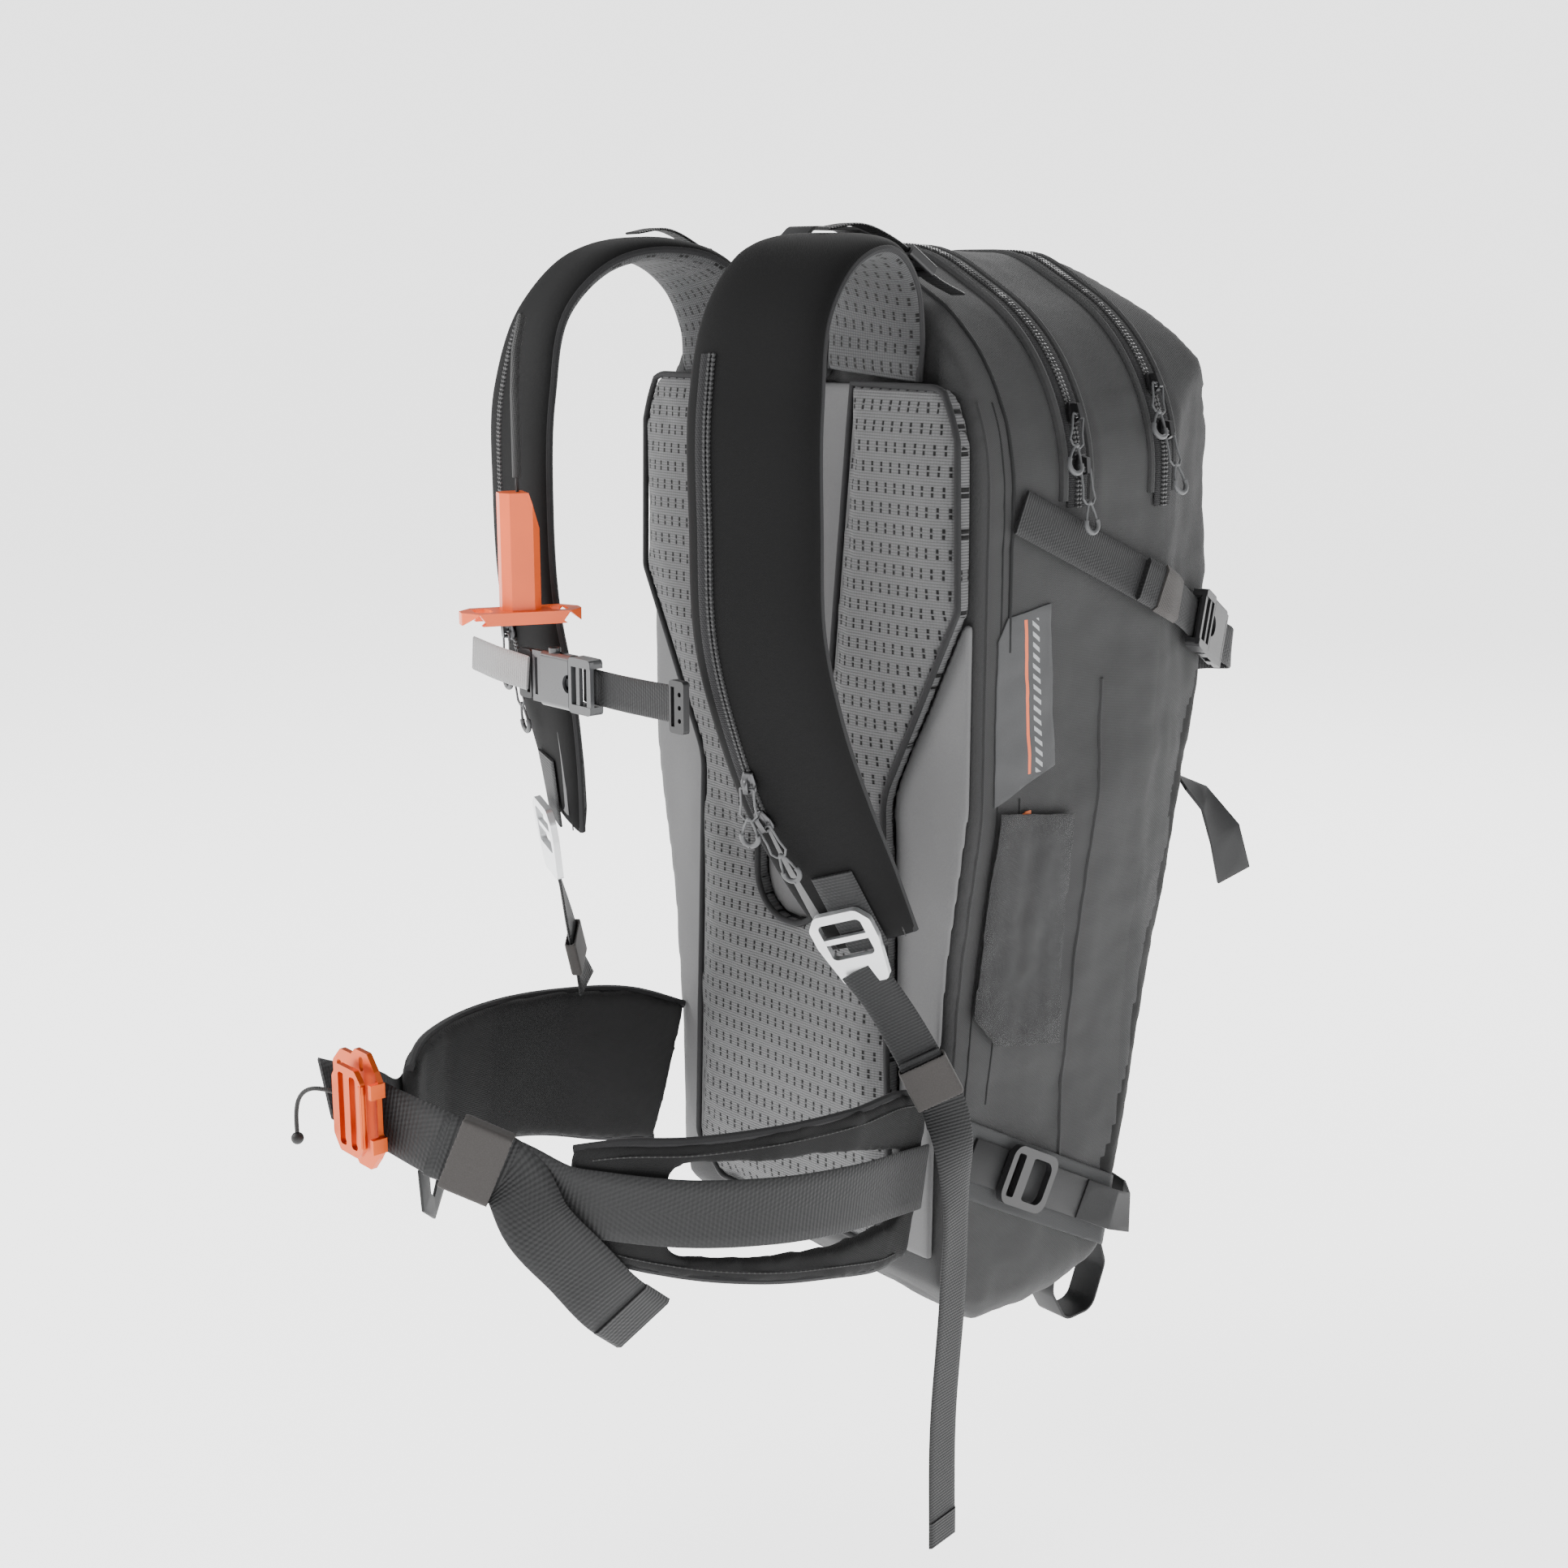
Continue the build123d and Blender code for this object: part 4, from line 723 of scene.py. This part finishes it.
def patch_on(piece, name, outline, side, lift, thick, look):
    """A piece of cloth cut to a convex outline (y, z) and laid on one side of a skin."""
    part = piece.copy()
    part.data = piece.data.copy()
    part.name = name
    for key in list(part.keys()):
        if key.startswith("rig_"):
            del part[key]
    bpy.context.scene.collection.objects.link(part)
    part.parent = None
    middle = Vector((0, sum(p[0] for p in outline) / len(outline), sum(p[1] for p in outline) / len(outline)))
    b = bmesh.new()
    b.from_mesh(part.data)
    cuts = [(Vector((side * 60, 0, 0)), Vector((-side, 0, 0)))]
    for p, q in zip(outline, outline[1:] + outline[:1]):
        along = Vector((0, q[0] - p[0], q[1] - p[1]))
        across = Vector((0, along.z, -along.y)).normalized()
        if across.dot(middle - Vector((0, *p))) > 0:
            across.negate()
        cuts.append((Vector((0, *p)), across))
    for place, facing in cuts:
        bmesh.ops.bisect_plane(b, geom=b.verts[:] + b.edges[:] + b.faces[:], plane_co=at(*place),
                               plane_no=facing, clear_outer=True)
    for v in b.verts:
        v.co += v.normal * lift * MM
    b.to_mesh(part.data)
    b.free()
    m = part.modifiers.new("thick", "SOLIDIFY")
    m.thickness, m.offset = thick * MM, 1.0
    m = part.modifiers.new("edge", "BEVEL")
    m.width, m.segments, m.limit_method = thick * 0.3 * MM, 2, "ANGLE"
    apply_all(part)
    dress(part, look)
    return smooth_shade(part)


# ---- the cord at the hip buckle -----------------------------------------------------
CORD_ROUTE = [(-29, -307, 204), (-36, -314, 207), (-45, -319, 203), (-49, -321, 192), (-48, -321, 180)]


def buckle_cord():
    curve = bpy.data.curves.new("hip_cord", "CURVE")
    curve.dimensions = "3D"
    curve.bevel_depth = 0.0012
    curve.bevel_resolution = 4
    line = curve.splines.new("NURBS")
    line.points.add(len(CORD_ROUTE) - 1)
    for point, place in zip(line.points, CORD_ROUTE):
        point.co = (*at(*place), 1)
    line.order_u = 3
    line.use_endpoint_u = True
    line.resolution_u = 12
    piece = bpy.data.objects.new("hip_cord", curve)
    bpy.context.scene.collection.objects.link(piece)
    curve.materials.append(LOOK["cord"])
    own(piece, "pack", ["buckle_cord"])
    at(*CORD_ROUTE[0])


camera()
buckle_cord()

# ---- pack body ----------------------------------------------------------------------
def fold_share(p):
    """Less folding near the harness side, the zips and the base seams."""
    share = 1.0
    if p.y < 22:
        share = max(0.05, p.y / 22)
    if p.z > 560:
        share *= 0.5
    if abs(p.y - 75) < 16 and p.z > 480:
        share *= 0.15
    if abs(p.y - 150) < 16 and p.z > 480:
        share *= 0.15
    return share


body = outer_skin(copy_of("pack_shell", "body_cover"))
softened(body, 0.004, 8)
folded(body, 2.6, (0.4, 1.0, 0.35), 55, fold_share, 2.0)
folded(body, 1.0, (1.0, 1.0, 1.6), 30, fold_share, 9.0)
dress(body, "body", "hood", "front", "painted_shadow")
for face in body.data.polygons:
    p = back_to_mm(face.center)
    # past this wavy line the body gets the near-black painted shadow
    shadow_line = 139 + (p.z - 35) * 0.2116 + 3 * math.sin(p.z / 19) + 2 * math.sin(p.z / 7.3)
    if 62 < p.z < 386 and p.y > shadow_line:
        face.material_index = 3
    elif p.y > 156 and p.z > 60:
        face.material_index = 2
smooth_shade(body, 70)
own(body, "pack", ["pack_shell"])

front = softened(copy_of("front_panel", "front_cover"), 0.003, 6)
dress(front, "front", "painted_shadow")
for face in front.data.polygons:
    p = back_to_mm(face.center)
    # the front panel's sides get the near-black painted shadow
    if abs(p.x) > 97:
        face.material_index = 1
own(front, "pack", ["front_panel"])


def welt(name, y, radius, look, floor=500, lift=0.4):
    run = surface_run(body, at(0, y, 0), Vector((0, 1, 0)), lambda p: p.z > floor, lift)
    piece = piping(name, run, radius, look)
    own(piece, "pack")
    return run


def zip_line(name, y, node):
    """Tape with two rows of coil, along the arch over the crown."""
    run = surface_run(body, at(0, y, 0), Vector((0, 1, 0)), lambda p: p.z > 495, 1.1, 4.0, 16)
    tape = loft("tape", run, flat(0.9), ("tape",))
    fine = smooth_run([Vector((*s.place, *s.out, s.wide)) for s in run], 0.62)
    coil = round_section(1.15, 6, 0.3, 2.4)
    rows = [loft("row", beside(fine, side * 1.15, 0.75), coil, ("coil",)) for side in (-1, 1)]
    own(joined(name, [tape, *rows]), "pack", [node])


zip_line("main_zip_line", 75, "main_zip")
zip_line("front_zip_line", 150, "front_zip")
welt("main_zip_welt_back", 64.0, 3.0, "hood")
welt("main_zip_welt_front", 86.0, 2.4, "body")
welt("front_zip_welt_back", 139.5, 2.4, "body")
welt("front_zip_welt_front", 160.5, 2.6, "front")
welt("back_edge_piping", 24.0, 1.3, "welt", 420, 0.2)
# name, y, lowest and highest z, radius, look
SEAMS = (("back_seam", 6, 60, 560, 1.3, "body"), ("patch_seam", 17, 60, 560, 0.6, "welt"),
         ("pocket_seam", 36, 150, 340, 0.6, "welt"), ("middle_seam", 104, 60, 400, 1.5, "body"))
for side in (-1, 1):
    word = "left" if side > 0 else "right"
    for name, y, low, high, size, look in SEAMS:
        run = surface_run(body, at(0, y, 0), Vector((0, 1, 0)),
                          lambda p, s=side, a=low, b=high: p.x * s > 20 and a < p.z < b, 0.1)
        own(piping(f"{name}_{word}", run, size, look, 6), "pack")

PATCH_OUTLINE = [(14, 430), (22, 442), (57, 447), (65, 354), (38, 345), (14, 337)]
POCKET_OUTLINE = [(16, 334), (80, 324), (92, 178), (34, 190), (16, 210)]
own(patch_on(body, "side_patch", PATCH_OUTLINE, 1, 0.2, 0.9, "patch"), "pack")
own(patch_on(body, "side_pocket", POCKET_OUTLINE, 1, 4.3, 0.6, "net"), "pack", ["leg_pocket"])
strap_in = softened(copy_of("leg_strap", "leg_strap_cover"), 0.0014, 2)
own(dress(strap_in, "leg_strap"), "pack", ["leg_strap"])

# ---- back panel ---------------------------------------------------------------------
pad = softened(copy_of("back_mesh_pad", "back_pad"), 0.004, 5, -0.0004)
puffed(pad, 3.0, 0.004, 12, lambda p: p.y > -4)
folded(pad, 0.7, (1, 1, 1), 45, lambda p: 1.0 if p.y < -6 else 0.0)
own(dress(pad, "mesh"), "pack", ["back_mesh_pad"])
lining = softened(copy_of("back_lining_panels", "back_lining"), 0.0025, 4)
folded(lining, 1.2, (1, 1, 0.5), 40, lambda p: 0.8 if p.y < -2 else 0.0, 4.0)
own(dress(lining, "lining"), "pack", ["back_lining_panels"])
yoke = softened(copy_of("shoulder_yoke", "yoke_cover"), 0.003, 5)
own(dress(yoke, "softshell"), "pack", ["shoulder_yoke"])


def pad_edge(name, radius, look):
    """Piping round the whole edge of the back pad, at its sewn face."""
    source = copy_of("back_mesh_pad", "pad_edge_source")
    b = bmesh.new()
    b.from_mesh(source.data)
    flat_y = at(0, -12.8, 0).y
    cut = bmesh.ops.bisect_plane(b, geom=b.verts[:] + b.edges[:] + b.faces[:], plane_co=(0, flat_y, 0),
                                 plane_no=(0, 1, 0))
    keep = {e for e in cut["geom_cut"] if isinstance(e, bmesh.types.BMEdge)}
    bmesh.ops.delete(b, geom=[f for f in b.faces], context="FACES_ONLY")
    bmesh.ops.delete(b, geom=[e for e in b.edges if e not in keep], context="EDGES")
    b.to_mesh(source.data)
    b.free()
    pick_up(source)
    bpy.ops.object.convert(target="CURVE")
    source.data.bevel_depth = radius * MM
    source.data.bevel_resolution = 2
    bpy.ops.object.convert(target="MESH")
    source.name = name
    dress(source, look)
    smooth_shade(source, 60)
    return source


own(pad_edge("pad_piping", 1.9, "binding"), "pack")

# ---- shoulder straps ----------------------------------------------------------------
def strap_stations(side):
    turn = 0.4 if side > 0 else 0.18
    rows = [((64, -8, 571), (0, 1, 0), 72), ((66, -9, 598), (0, 1, 0.1), 72),
            ((71, -22, 623), (0, 0.8, 0.7), 73), ((79, -50, 637), (0, 0.1, 1), 74),
            ((88, -86, 631), (0.15, -0.5, 0.9), 74),
            ((95, -112, 606), (0.28, -0.9, 0.4), 74), ((100, -125, 560), (turn, -0.9, 0), 74),
            ((102, -127, 500), (turn, -0.9, 0), 74), ((102, -124, 440), (turn, -0.9, 0), 74)]
    if side > 0:
        return rows + [((102, -111, 395), (0.4, -0.9, -0.2), 74), ((103, -90, 345), (0.45, -0.9, -0.3), 72),
                       ((107, -68, 303), (0.5, -0.85, -0.4), 64), ((113, -51, 269), (0.5, -0.85, -0.4), 54)]
    rows += [((101, -116, 395), (turn, -0.9, -0.1), 74), ((101, -106, 348), (0.26, -0.9, -0.1), 66),
             ((104, -97, 306), (0.36, -0.9, -0.1), 54)]
    return [((-p[0], p[1], p[2]), (-n[0], n[1], n[2]), w) for p, n, w in rows]


def shoulder_strap(side, word):
    spots = course(strap_stations(side), 4.0)
    pad = loft(f"strap_pad_{word}", spots, cushion(14.5, 16), ("strap_face", "strap_mesh"))
    own(pad, "pack", [f"shoulder_strap_{word}"])
    for edge, name in ((-1, "a"), (1, "b")):
        trim = beside(spots, edge * -1.5, 0.0, edge * 0.5)
        own(piping(f"strap_binding_{word}_{name}", trim, 2.2, "binding"), "pack")
        row = beside(spots, edge * -6.0, 4.4, edge * 0.5)
        own(piping(f"strap_stitches_{word}_{name}", row, 0.45, "dark_stitch", 6), "pack")
    return spots


left_strap = shoulder_strap(1, "left")
right_strap = shoulder_strap(-1, "right")


def strap_zip(name, spots, first, last, over):
    """The zip that closes the strap's sleeve."""
    run = [s for s in spots if first <= s.far / spots[-1].far <= last]
    run = beside(run, over, 7.0)
    for s in run:
        s.wide = 13 * MM
    tape = loft("tape", run, flat(0.8), ("tape",))
    fine = smooth_run([Vector((*s.place, *s.out, s.wide)) for s in run], 0.7)
    rows = [loft("row", beside(fine, side * 1.1, 0.7), round_section(1.1, 6, 0.3, 2.4), ("coil",))
            for side in (-1, 1)]
    own(joined(name, [tape, *rows]), "pack")
    return run


left_zip = strap_zip("strap_zip_left", left_strap, 0.36, 0.83, 23)
right_zip = strap_zip("strap_zip_right", right_strap, 0.36, 0.80, 14)


def sleeve_panel(name, spots, first, last, over, wide, look, out=6.6):
    run = beside([s for s in spots if first <= s.far / spots[-1].far <= last], over, out)
    for s in run:
        s.wide = wide * MM
    own(loft(name, run, flat(1.2, 8), (look,)), "pack")


sleeve_panel("strap_patch_left", left_strap, 0.80, 0.965, 3, 44, "lining")
sleeve_panel("strap_patch_right", right_strap, 0.86, 0.975, -3, 40, "lining")


def hang_pull(name, near, turn):
    """A slider and its pull, from the pack's own zips, laid on a strap zip."""
    made = []
    for node, look in (("main_zip_slider_lower", "gunmetal"), ("main_zip_pull_lower", "pull_end")):
        part = copy_of(node, name + "_" + node.split("_")[2])
        dress(part, look)
        made.append(part)
    seat = at(20 + 122.6 * math.cos(math.radians(7)), 75, 506.714 + 122.6 * math.sin(math.radians(7)))
    up = Vector((-math.sin(math.radians(7)), 0, math.cos(math.radians(7))))
    side = Vector((0, 1, 0))
    old = Matrix((up, side, up.cross(side))).transposed().to_4x4()
    old.translation = seat
    new_up = (near.run * -1).normalized()
    new_out = near.out.normalized()
    new = Matrix((new_up, new_out.cross(new_up), new_out)).transposed().to_4x4()
    if (up.cross(side)).dot(Vector((1, 0, 0))) < 0:
        old = Matrix((up, -side, up.cross(-side))).transposed().to_4x4()
        old.translation = seat
    new.translation = near.spot(0, 0.0012)
    for part in made:
        part.data.transform(new @ Matrix.Rotation(math.radians(turn), 4, "Z") @ old.inverted())
        part.data.update()
        smooth_shade(part, 40)
    own(joined(name, made), "pack")


hang_pull("strap_slider_left_a", left_zip[-1], 12)
hang_pull("strap_slider_left_b", left_zip[-7], -14)
hang_pull("strap_slider_right_a", right_zip[-1], 10)
hang_pull("strap_slider_right_b", right_zip[-7], -12)

# ---- webbing ------------------------------------------------------------------------
def webbing(name, stations, body_name="pack", thick=1.6, look="webbing", replaces=()):
    spots = course(stations, 4.0)
    own(loft(name, spots, flat(thick), (look,)), body_name, replaces)
    return spots


def mirror(stations):
    return [((-p[0], p[1], p[2]), (-n[0], n[1], n[2]), w) for p, n, w in stations]


webbing("strap_run_left", [((113.5, -62, 254), (0.5, -0.85, 0), 25), ((119, -53, 240), (0.5, -0.85, 0), 25),
                           ((131, -34, 202), (0.70, -0.68, 0), 25), ((139, -21, 172), (0.75, -0.64, 0), 25),
                           ((140, -18, 160), (0.8, -0.5, 0), 25)],
        replaces=["strap_webbing"])
webbing("strap_tail_left", [((132.6, -35.5, 202), (0.70, -0.68, 0), 25),
                            ((140.7, -22.4, 172), (0.75, -0.64, 0), 25),
                            ((147, -21, 152), (0.95, -0.3, 0), 25), ((146, -17, 120), (1, 0.12, 0), 25),
                            ((143, -15, 60), (1, 0.12, 0), 25), ((138, -16, -30), (1, 0.12, 0), 25),
                            ((136, -13, -103), (1, 0.12, 0), 25)])
webbing("tail_end_fold", [((136.6, -13.6, -88), (1, 0.12, 0), 25.4),
                          ((136.4, -13.1, -104.5), (1, 0.12, 0), 25.4)], thick=2.6)
webbing("strap_run_right", [((-111, -103, 270), (-0.45, -0.85, 0), 25),
                            ((-117, -89, 230), (-0.66, -0.72, 0), 25),
                            ((-121, -80, 204), (-0.70, -0.68, 0), 25),
                            ((-123, -74, 190), (-0.8, -0.5, 0), 25)])


def strap_top_run(name, spots, first):
    run = beside([s for s in spots if s.far / spots[-1].far >= first], 0, 9.2)
    for s in run:
        s.wide = 25 * MM
    own(loft(name, run, flat(1.6), ("webbing",)), "pack")


strap_top_run("strap_anchor_left", left_strap, 0.90)
strap_top_run("strap_anchor_right", right_strap, 0.90)
for side, word in ((1, "left"), (-1, "right")):
    sign = (lambda rows: rows) if side > 0 else mirror
    webbing(f"load_lifter_{word}", sign([((86, 34, 614), (0, 0.4, 1), 12), ((85.5, 14, 622), (0, 0.4, 1), 12),
                                         ((84, -14, 641), (0, 0.4, 1), 12), ((82, -40, 650), (0, 0, 1), 12),
                                         ((80, -62, 647.5), (0, -0.3, 1), 12)]), thick=1.4,
            replaces=["load_lifter_webbing"] if side > 0 else ())
    webbing(f"compression_run_{word}",
            sign([((144, 26, 500), (1, 0, 0), 25), ((144, 100, 467.5), (1, 0, 0), 25),
                  ((144, 150, 445), (1, 0, 0), 25)]),
            replaces=["compression_webbing"] if side > 0 else ())


def cad_ribbons(node, name, look):
    """A node's flat webbing, its corners eased, for the pieces that CAD already curves right."""
    piece = copy_of(node, name)
    m = piece.modifiers.new("edge", "BEVEL")
    m.width, m.segments, m.limit_method = 0.0004, 2, "ANGLE"
    apply_all(piece)
    dress(piece, look)
    smooth_shade(piece, 50)
    own(piece, "pack", [node])


# compression strap: straight run through the ladder and the loop past the socket
OUT = tuple(Vector((0.9437, 0.3307, 0)).normalized())
for side, word in ((1, "left"), (-1, "right")):
    sign = (lambda rows: rows) if side > 0 else mirror
    webbing(f"compression_reach_{word}",
            sign([((144, 148, 446), (1, 0, 0), 25), ((138, 171.8, 435.8), OUT, 25),
                  ((124.9, 208, 418.9), OUT, 25)]))
    webbing(f"compression_fold_{word}",
            sign([((146.3, 128, 455), (1, 0, 0), 26), ((146.4, 140, 449.6), (1, 0, 0), 26),
                  ((146, 147, 446.4), (0.98, 0.1, 0), 26)]), thick=3.4)
    webbing(f"compression_band_{word}",
            sign([((146.6, 143, 448.4), (1, 0, 0), 28.5), ((145.8, 152, 444.2), (0.98, 0.15, 0), 28.5),
                  ((142, 165, 438.8), OUT, 28.5)]), thick=5.0, look="elastic")
    webbing(f"compression_loop_{word}",
            sign([((117, 240, 404.5), (1, 0.4, 0), 25), ((115.5, 246.1, 401.6), (1, 0.4, 0), 25),
                  ((112.5, 258.1, 396.6), (1, 0.5, 0), 25), ((103.5, 265.1, 393.6), (0.3, 1, 0), 25),
                  ((91.5, 260.1, 392.6), (-0.5, 1, 0), 25), ((86, 250, 392), (-0.8, 0.7, 0), 25)]))
cad_ribbons("ski_webbing", "ski_strap_webbing", "webbing")
cad_ribbons("tool_loops", "tool_loops_webbing", "webbing")
cad_ribbons("haul_loop", "haul_loop_webbing", "webbing")
patches = softened(copy_of("ski_patches", "ski_patch_cloth"), 0.0012, 2)
own(dress(patches, "softshell"), "pack", ["ski_patches"])
keepers = softened(copy_of("webbing_keepers", "keeper_bands"), 0.0009, 2)
own(dress(keepers, "elastic"), "pack", ["webbing_keepers"])
band = softened(copy_of("belt_keeper", "belt_keeper_band"), 0.0009, 2)
own(dress(band, "elastic"), "belt_keeper", ["belt_keeper"])

# ---- chest strap --------------------------------------------------------------------
webbing("chest_run", [((-18, -147.8, 405), (0, -1, 0), 20), ((10, -148.4, 404.6), (0, -1, 0), 20),
                       ((61, -147.8, 405), (0, -1, 0), 20)],
        "sternum_strap", 1.6, "webbing", ["sternum_webbing"])
webbing("chest_tail", [((-61.5, -155, 406), (0, -1, 0), 20), ((-84, -159, 409), (0.1, -1, 0), 20),
                       ((-110, -159, 412), (-0.1, -1, 0), 20)],
        "sternum_strap", 1.6, "light_webbing")

# ---- hip belt -----------------------------------------------------------------------
WING = [((112, -18, 121), (1, 0.30, 0), 92), ((125, -50, 130), (1, 0.22, 0), 100),
        ((136, -95, 139), (1, 0, 0), 93), ((133, -145, 146), (1, -0.35, 0), 86),
        ((115, -190, 152), (0.9, -0.75, 0), 76),
        ((92, -219, 157), (0.75, -0.9, 0), 66), ((76, -234, 160), (0.7, -0.9, 0), 52)]
BELT = [((118.9, -15.3, 120.8), (1, 0.3, 0), 38), ((132.1, -47.8, 129.9), (1, 0.22, 0), 38),
        ((143.4, -94.4, 138.9), (1, 0, 0), 38), ((140.2, -146.6, 145.9), (1, -0.35, 0), 38),
        ((121.5, -193.6, 151.8), (0.9, -0.75, 0), 38), ((97.5, -223.9, 156.8), (0.75, -0.9, 0), 38),
        ((81.1, -239.4, 159.9), (0.7, -0.9, 0), 38)]
for side, word in ((1, "left"), (-1, "right")):
    sign = (lambda rows: rows) if side > 0 else mirror
    wing = softened(copy_of(f"hip_wing_{word}", f"wing_{word}"), 0.0028, 10)
    folded(wing, 0.8, (1, 1, 1), 50, None, 3.0 * side)
    own(dress(wing, "wing"), "pack", [f"hip_wing_{word}"])
    spots = course(sign(WING), 4.0)
    for edge, tag in ((-1, "low"), (1, "top")):
        own(piping(f"wing_binding_{word}_{tag}", beside(spots, edge * -1.0, 0, edge * 0.5), 2.6, "binding"),
            "pack")
        own(piping(f"wing_stitches_{word}_{tag}", beside(spots[6:-3], edge * -7.0, 4.9, edge * 0.5), 0.45,
                   "dark_stitch", 6), "pack")
webbing("belt_left", BELT + [((61, -257, 172), (0.66, -0.75, 0), 38), ((33, -284, 188), (0.62, -0.78, 0), 38),
                             ((-8, -298, 198), (0.15, -1, 0), 38)],
        look="belt", replaces=["hip_webbing"])
webbing("belt_right", mirror(BELT) + [((-58, -266, 178), (-0.62, -0.78, 0), 38),
                                      ((-48, -303, 200), (-0.3, -1, 0), 38)], look="belt")
webbing("belt_tail", [((31.7, -285.7, 188), (0.62, -0.78, 0), 38),
                      ((59.6, -258.7, 172), (0.66, -0.75, 0), 38),
                      ((76, -254, 148), (0.72, -0.70, 0.1), 38), ((88, -238, 124), (0.75, -0.66, 0.1), 38),
                      ((94, -222, 102), (0.8, -0.6, 0.1), 38), ((92, -200, 82), (0.8, -0.6, 0.1), 38)],
        look="belt")
webbing("belt_tail_end", [((94.6, -216, 96), (0.8, -0.6, 0.1), 38.6),
                          ((93, -199.5, 81.5), (0.8, -0.6, 0.1), 38.6)],
        look="belt", thick=3.4)
bag = softened(copy_of("airbag_bundle", "airbag_folds"), 0.004, 4)
folded(bag, 3.0, (0.3, 1, 2.5), 18)
own(dress(bag, "airbag"), "pack", ["airbag_bundle"])

# ---- pieces that keep their CAD shape -----------------------------------------------
FINISHES = {
    "frame_sheet": "sheet", "frame_stays": "alloy", "fan_housing": "inner", "fan_cover": "inner",
    "fan_motor": "steel", "fan_shaft": "steel", "impeller": "inner", "capacitor_pack": "cells",
    "control_box": "inner", "power_button": "orange_grip", "strap_buckle_left": "cast",
    "strap_buckle_right": "cast", "cable_housing": "cord", "trigger_cable": "cord",
    "trigger_handle": "orange_grip", "sternum_clips": "dark_plastic", "sternum_socket": "grey_plastic",
    "sternum_prong": "grey_plastic", "hip_buckle_receiver": "orange_plate",
    "hip_buckle_ladder": "orange_plate", "cord_bead": "rubber", "compression_sockets": "dark_plastic",
    "compression_prong_left": "dark_plastic", "compression_prong_right": "dark_plastic",
    "ski_buckles": "dark_plastic", "load_lifter_buckles": "dark_plastic",
    "main_zip_slider_upper": "gunmetal", "main_zip_slider_lower": "gunmetal",
    "front_zip_slider_upper": "gunmetal", "front_zip_slider_lower": "gunmetal",
    "main_zip_pull_upper": "pull_end", "main_zip_pull_lower": "pull_end",
    "front_zip_pull_upper": "pull_end", "front_zip_pull_lower": "pull_end",
}
for node, look in FINISHES.items():
    dress(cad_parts[node], look)

# ---- floor and light ----------------------------------------------------------------
put_down()
bpy.ops.mesh.primitive_grid_add(x_subdivisions=40, y_subdivisions=40, size=60, location=(0, 0, -0.80))
floor = bpy.context.object
floor.name = "floor"
pale = bpy.data.materials.new("pale_floor")
pale.use_nodes = True
pale.node_tree.nodes["Principled BSDF"].inputs["Base Color"].default_value = (0.82, 0.82, 0.82, 1)
pale.node_tree.nodes["Principled BSDF"].inputs["Roughness"].default_value = 0.9
pale.node_tree.nodes["Principled BSDF"].inputs["Emission Color"].default_value = (1, 1, 1, 1)
pale.node_tree.nodes["Principled BSDF"].inputs["Emission Strength"].default_value = 2.3
floor.data.materials.append(pale)
floor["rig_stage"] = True
world = bpy.data.worlds.new("soft_room")
bpy.context.scene.world = world
world.use_nodes = True
world.node_tree.nodes["Background"].inputs[0].default_value = (0.9, 0.9, 0.9, 1)
backdrop = world.node_tree.nodes["Background"]
seen = world.node_tree.nodes.new("ShaderNodeLightPath")
level = world.node_tree.nodes.new("ShaderNodeMix")
level.inputs[2].default_value, level.inputs[3].default_value = 0.5, 3.0
world.node_tree.links.new(seen.outputs["Is Camera Ray"], level.inputs[0])
world.node_tree.links.new(level.outputs[0], backdrop.inputs[1])
soft_light("key", (-1.5, -1.9, 1.0), 1.6, 85)
soft_light("back", (-0.9, 2.0, 1.4), 1.6, 60)
soft_light("side", (2.4, 0.4, 1.0), 1.8, 16)

low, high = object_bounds()
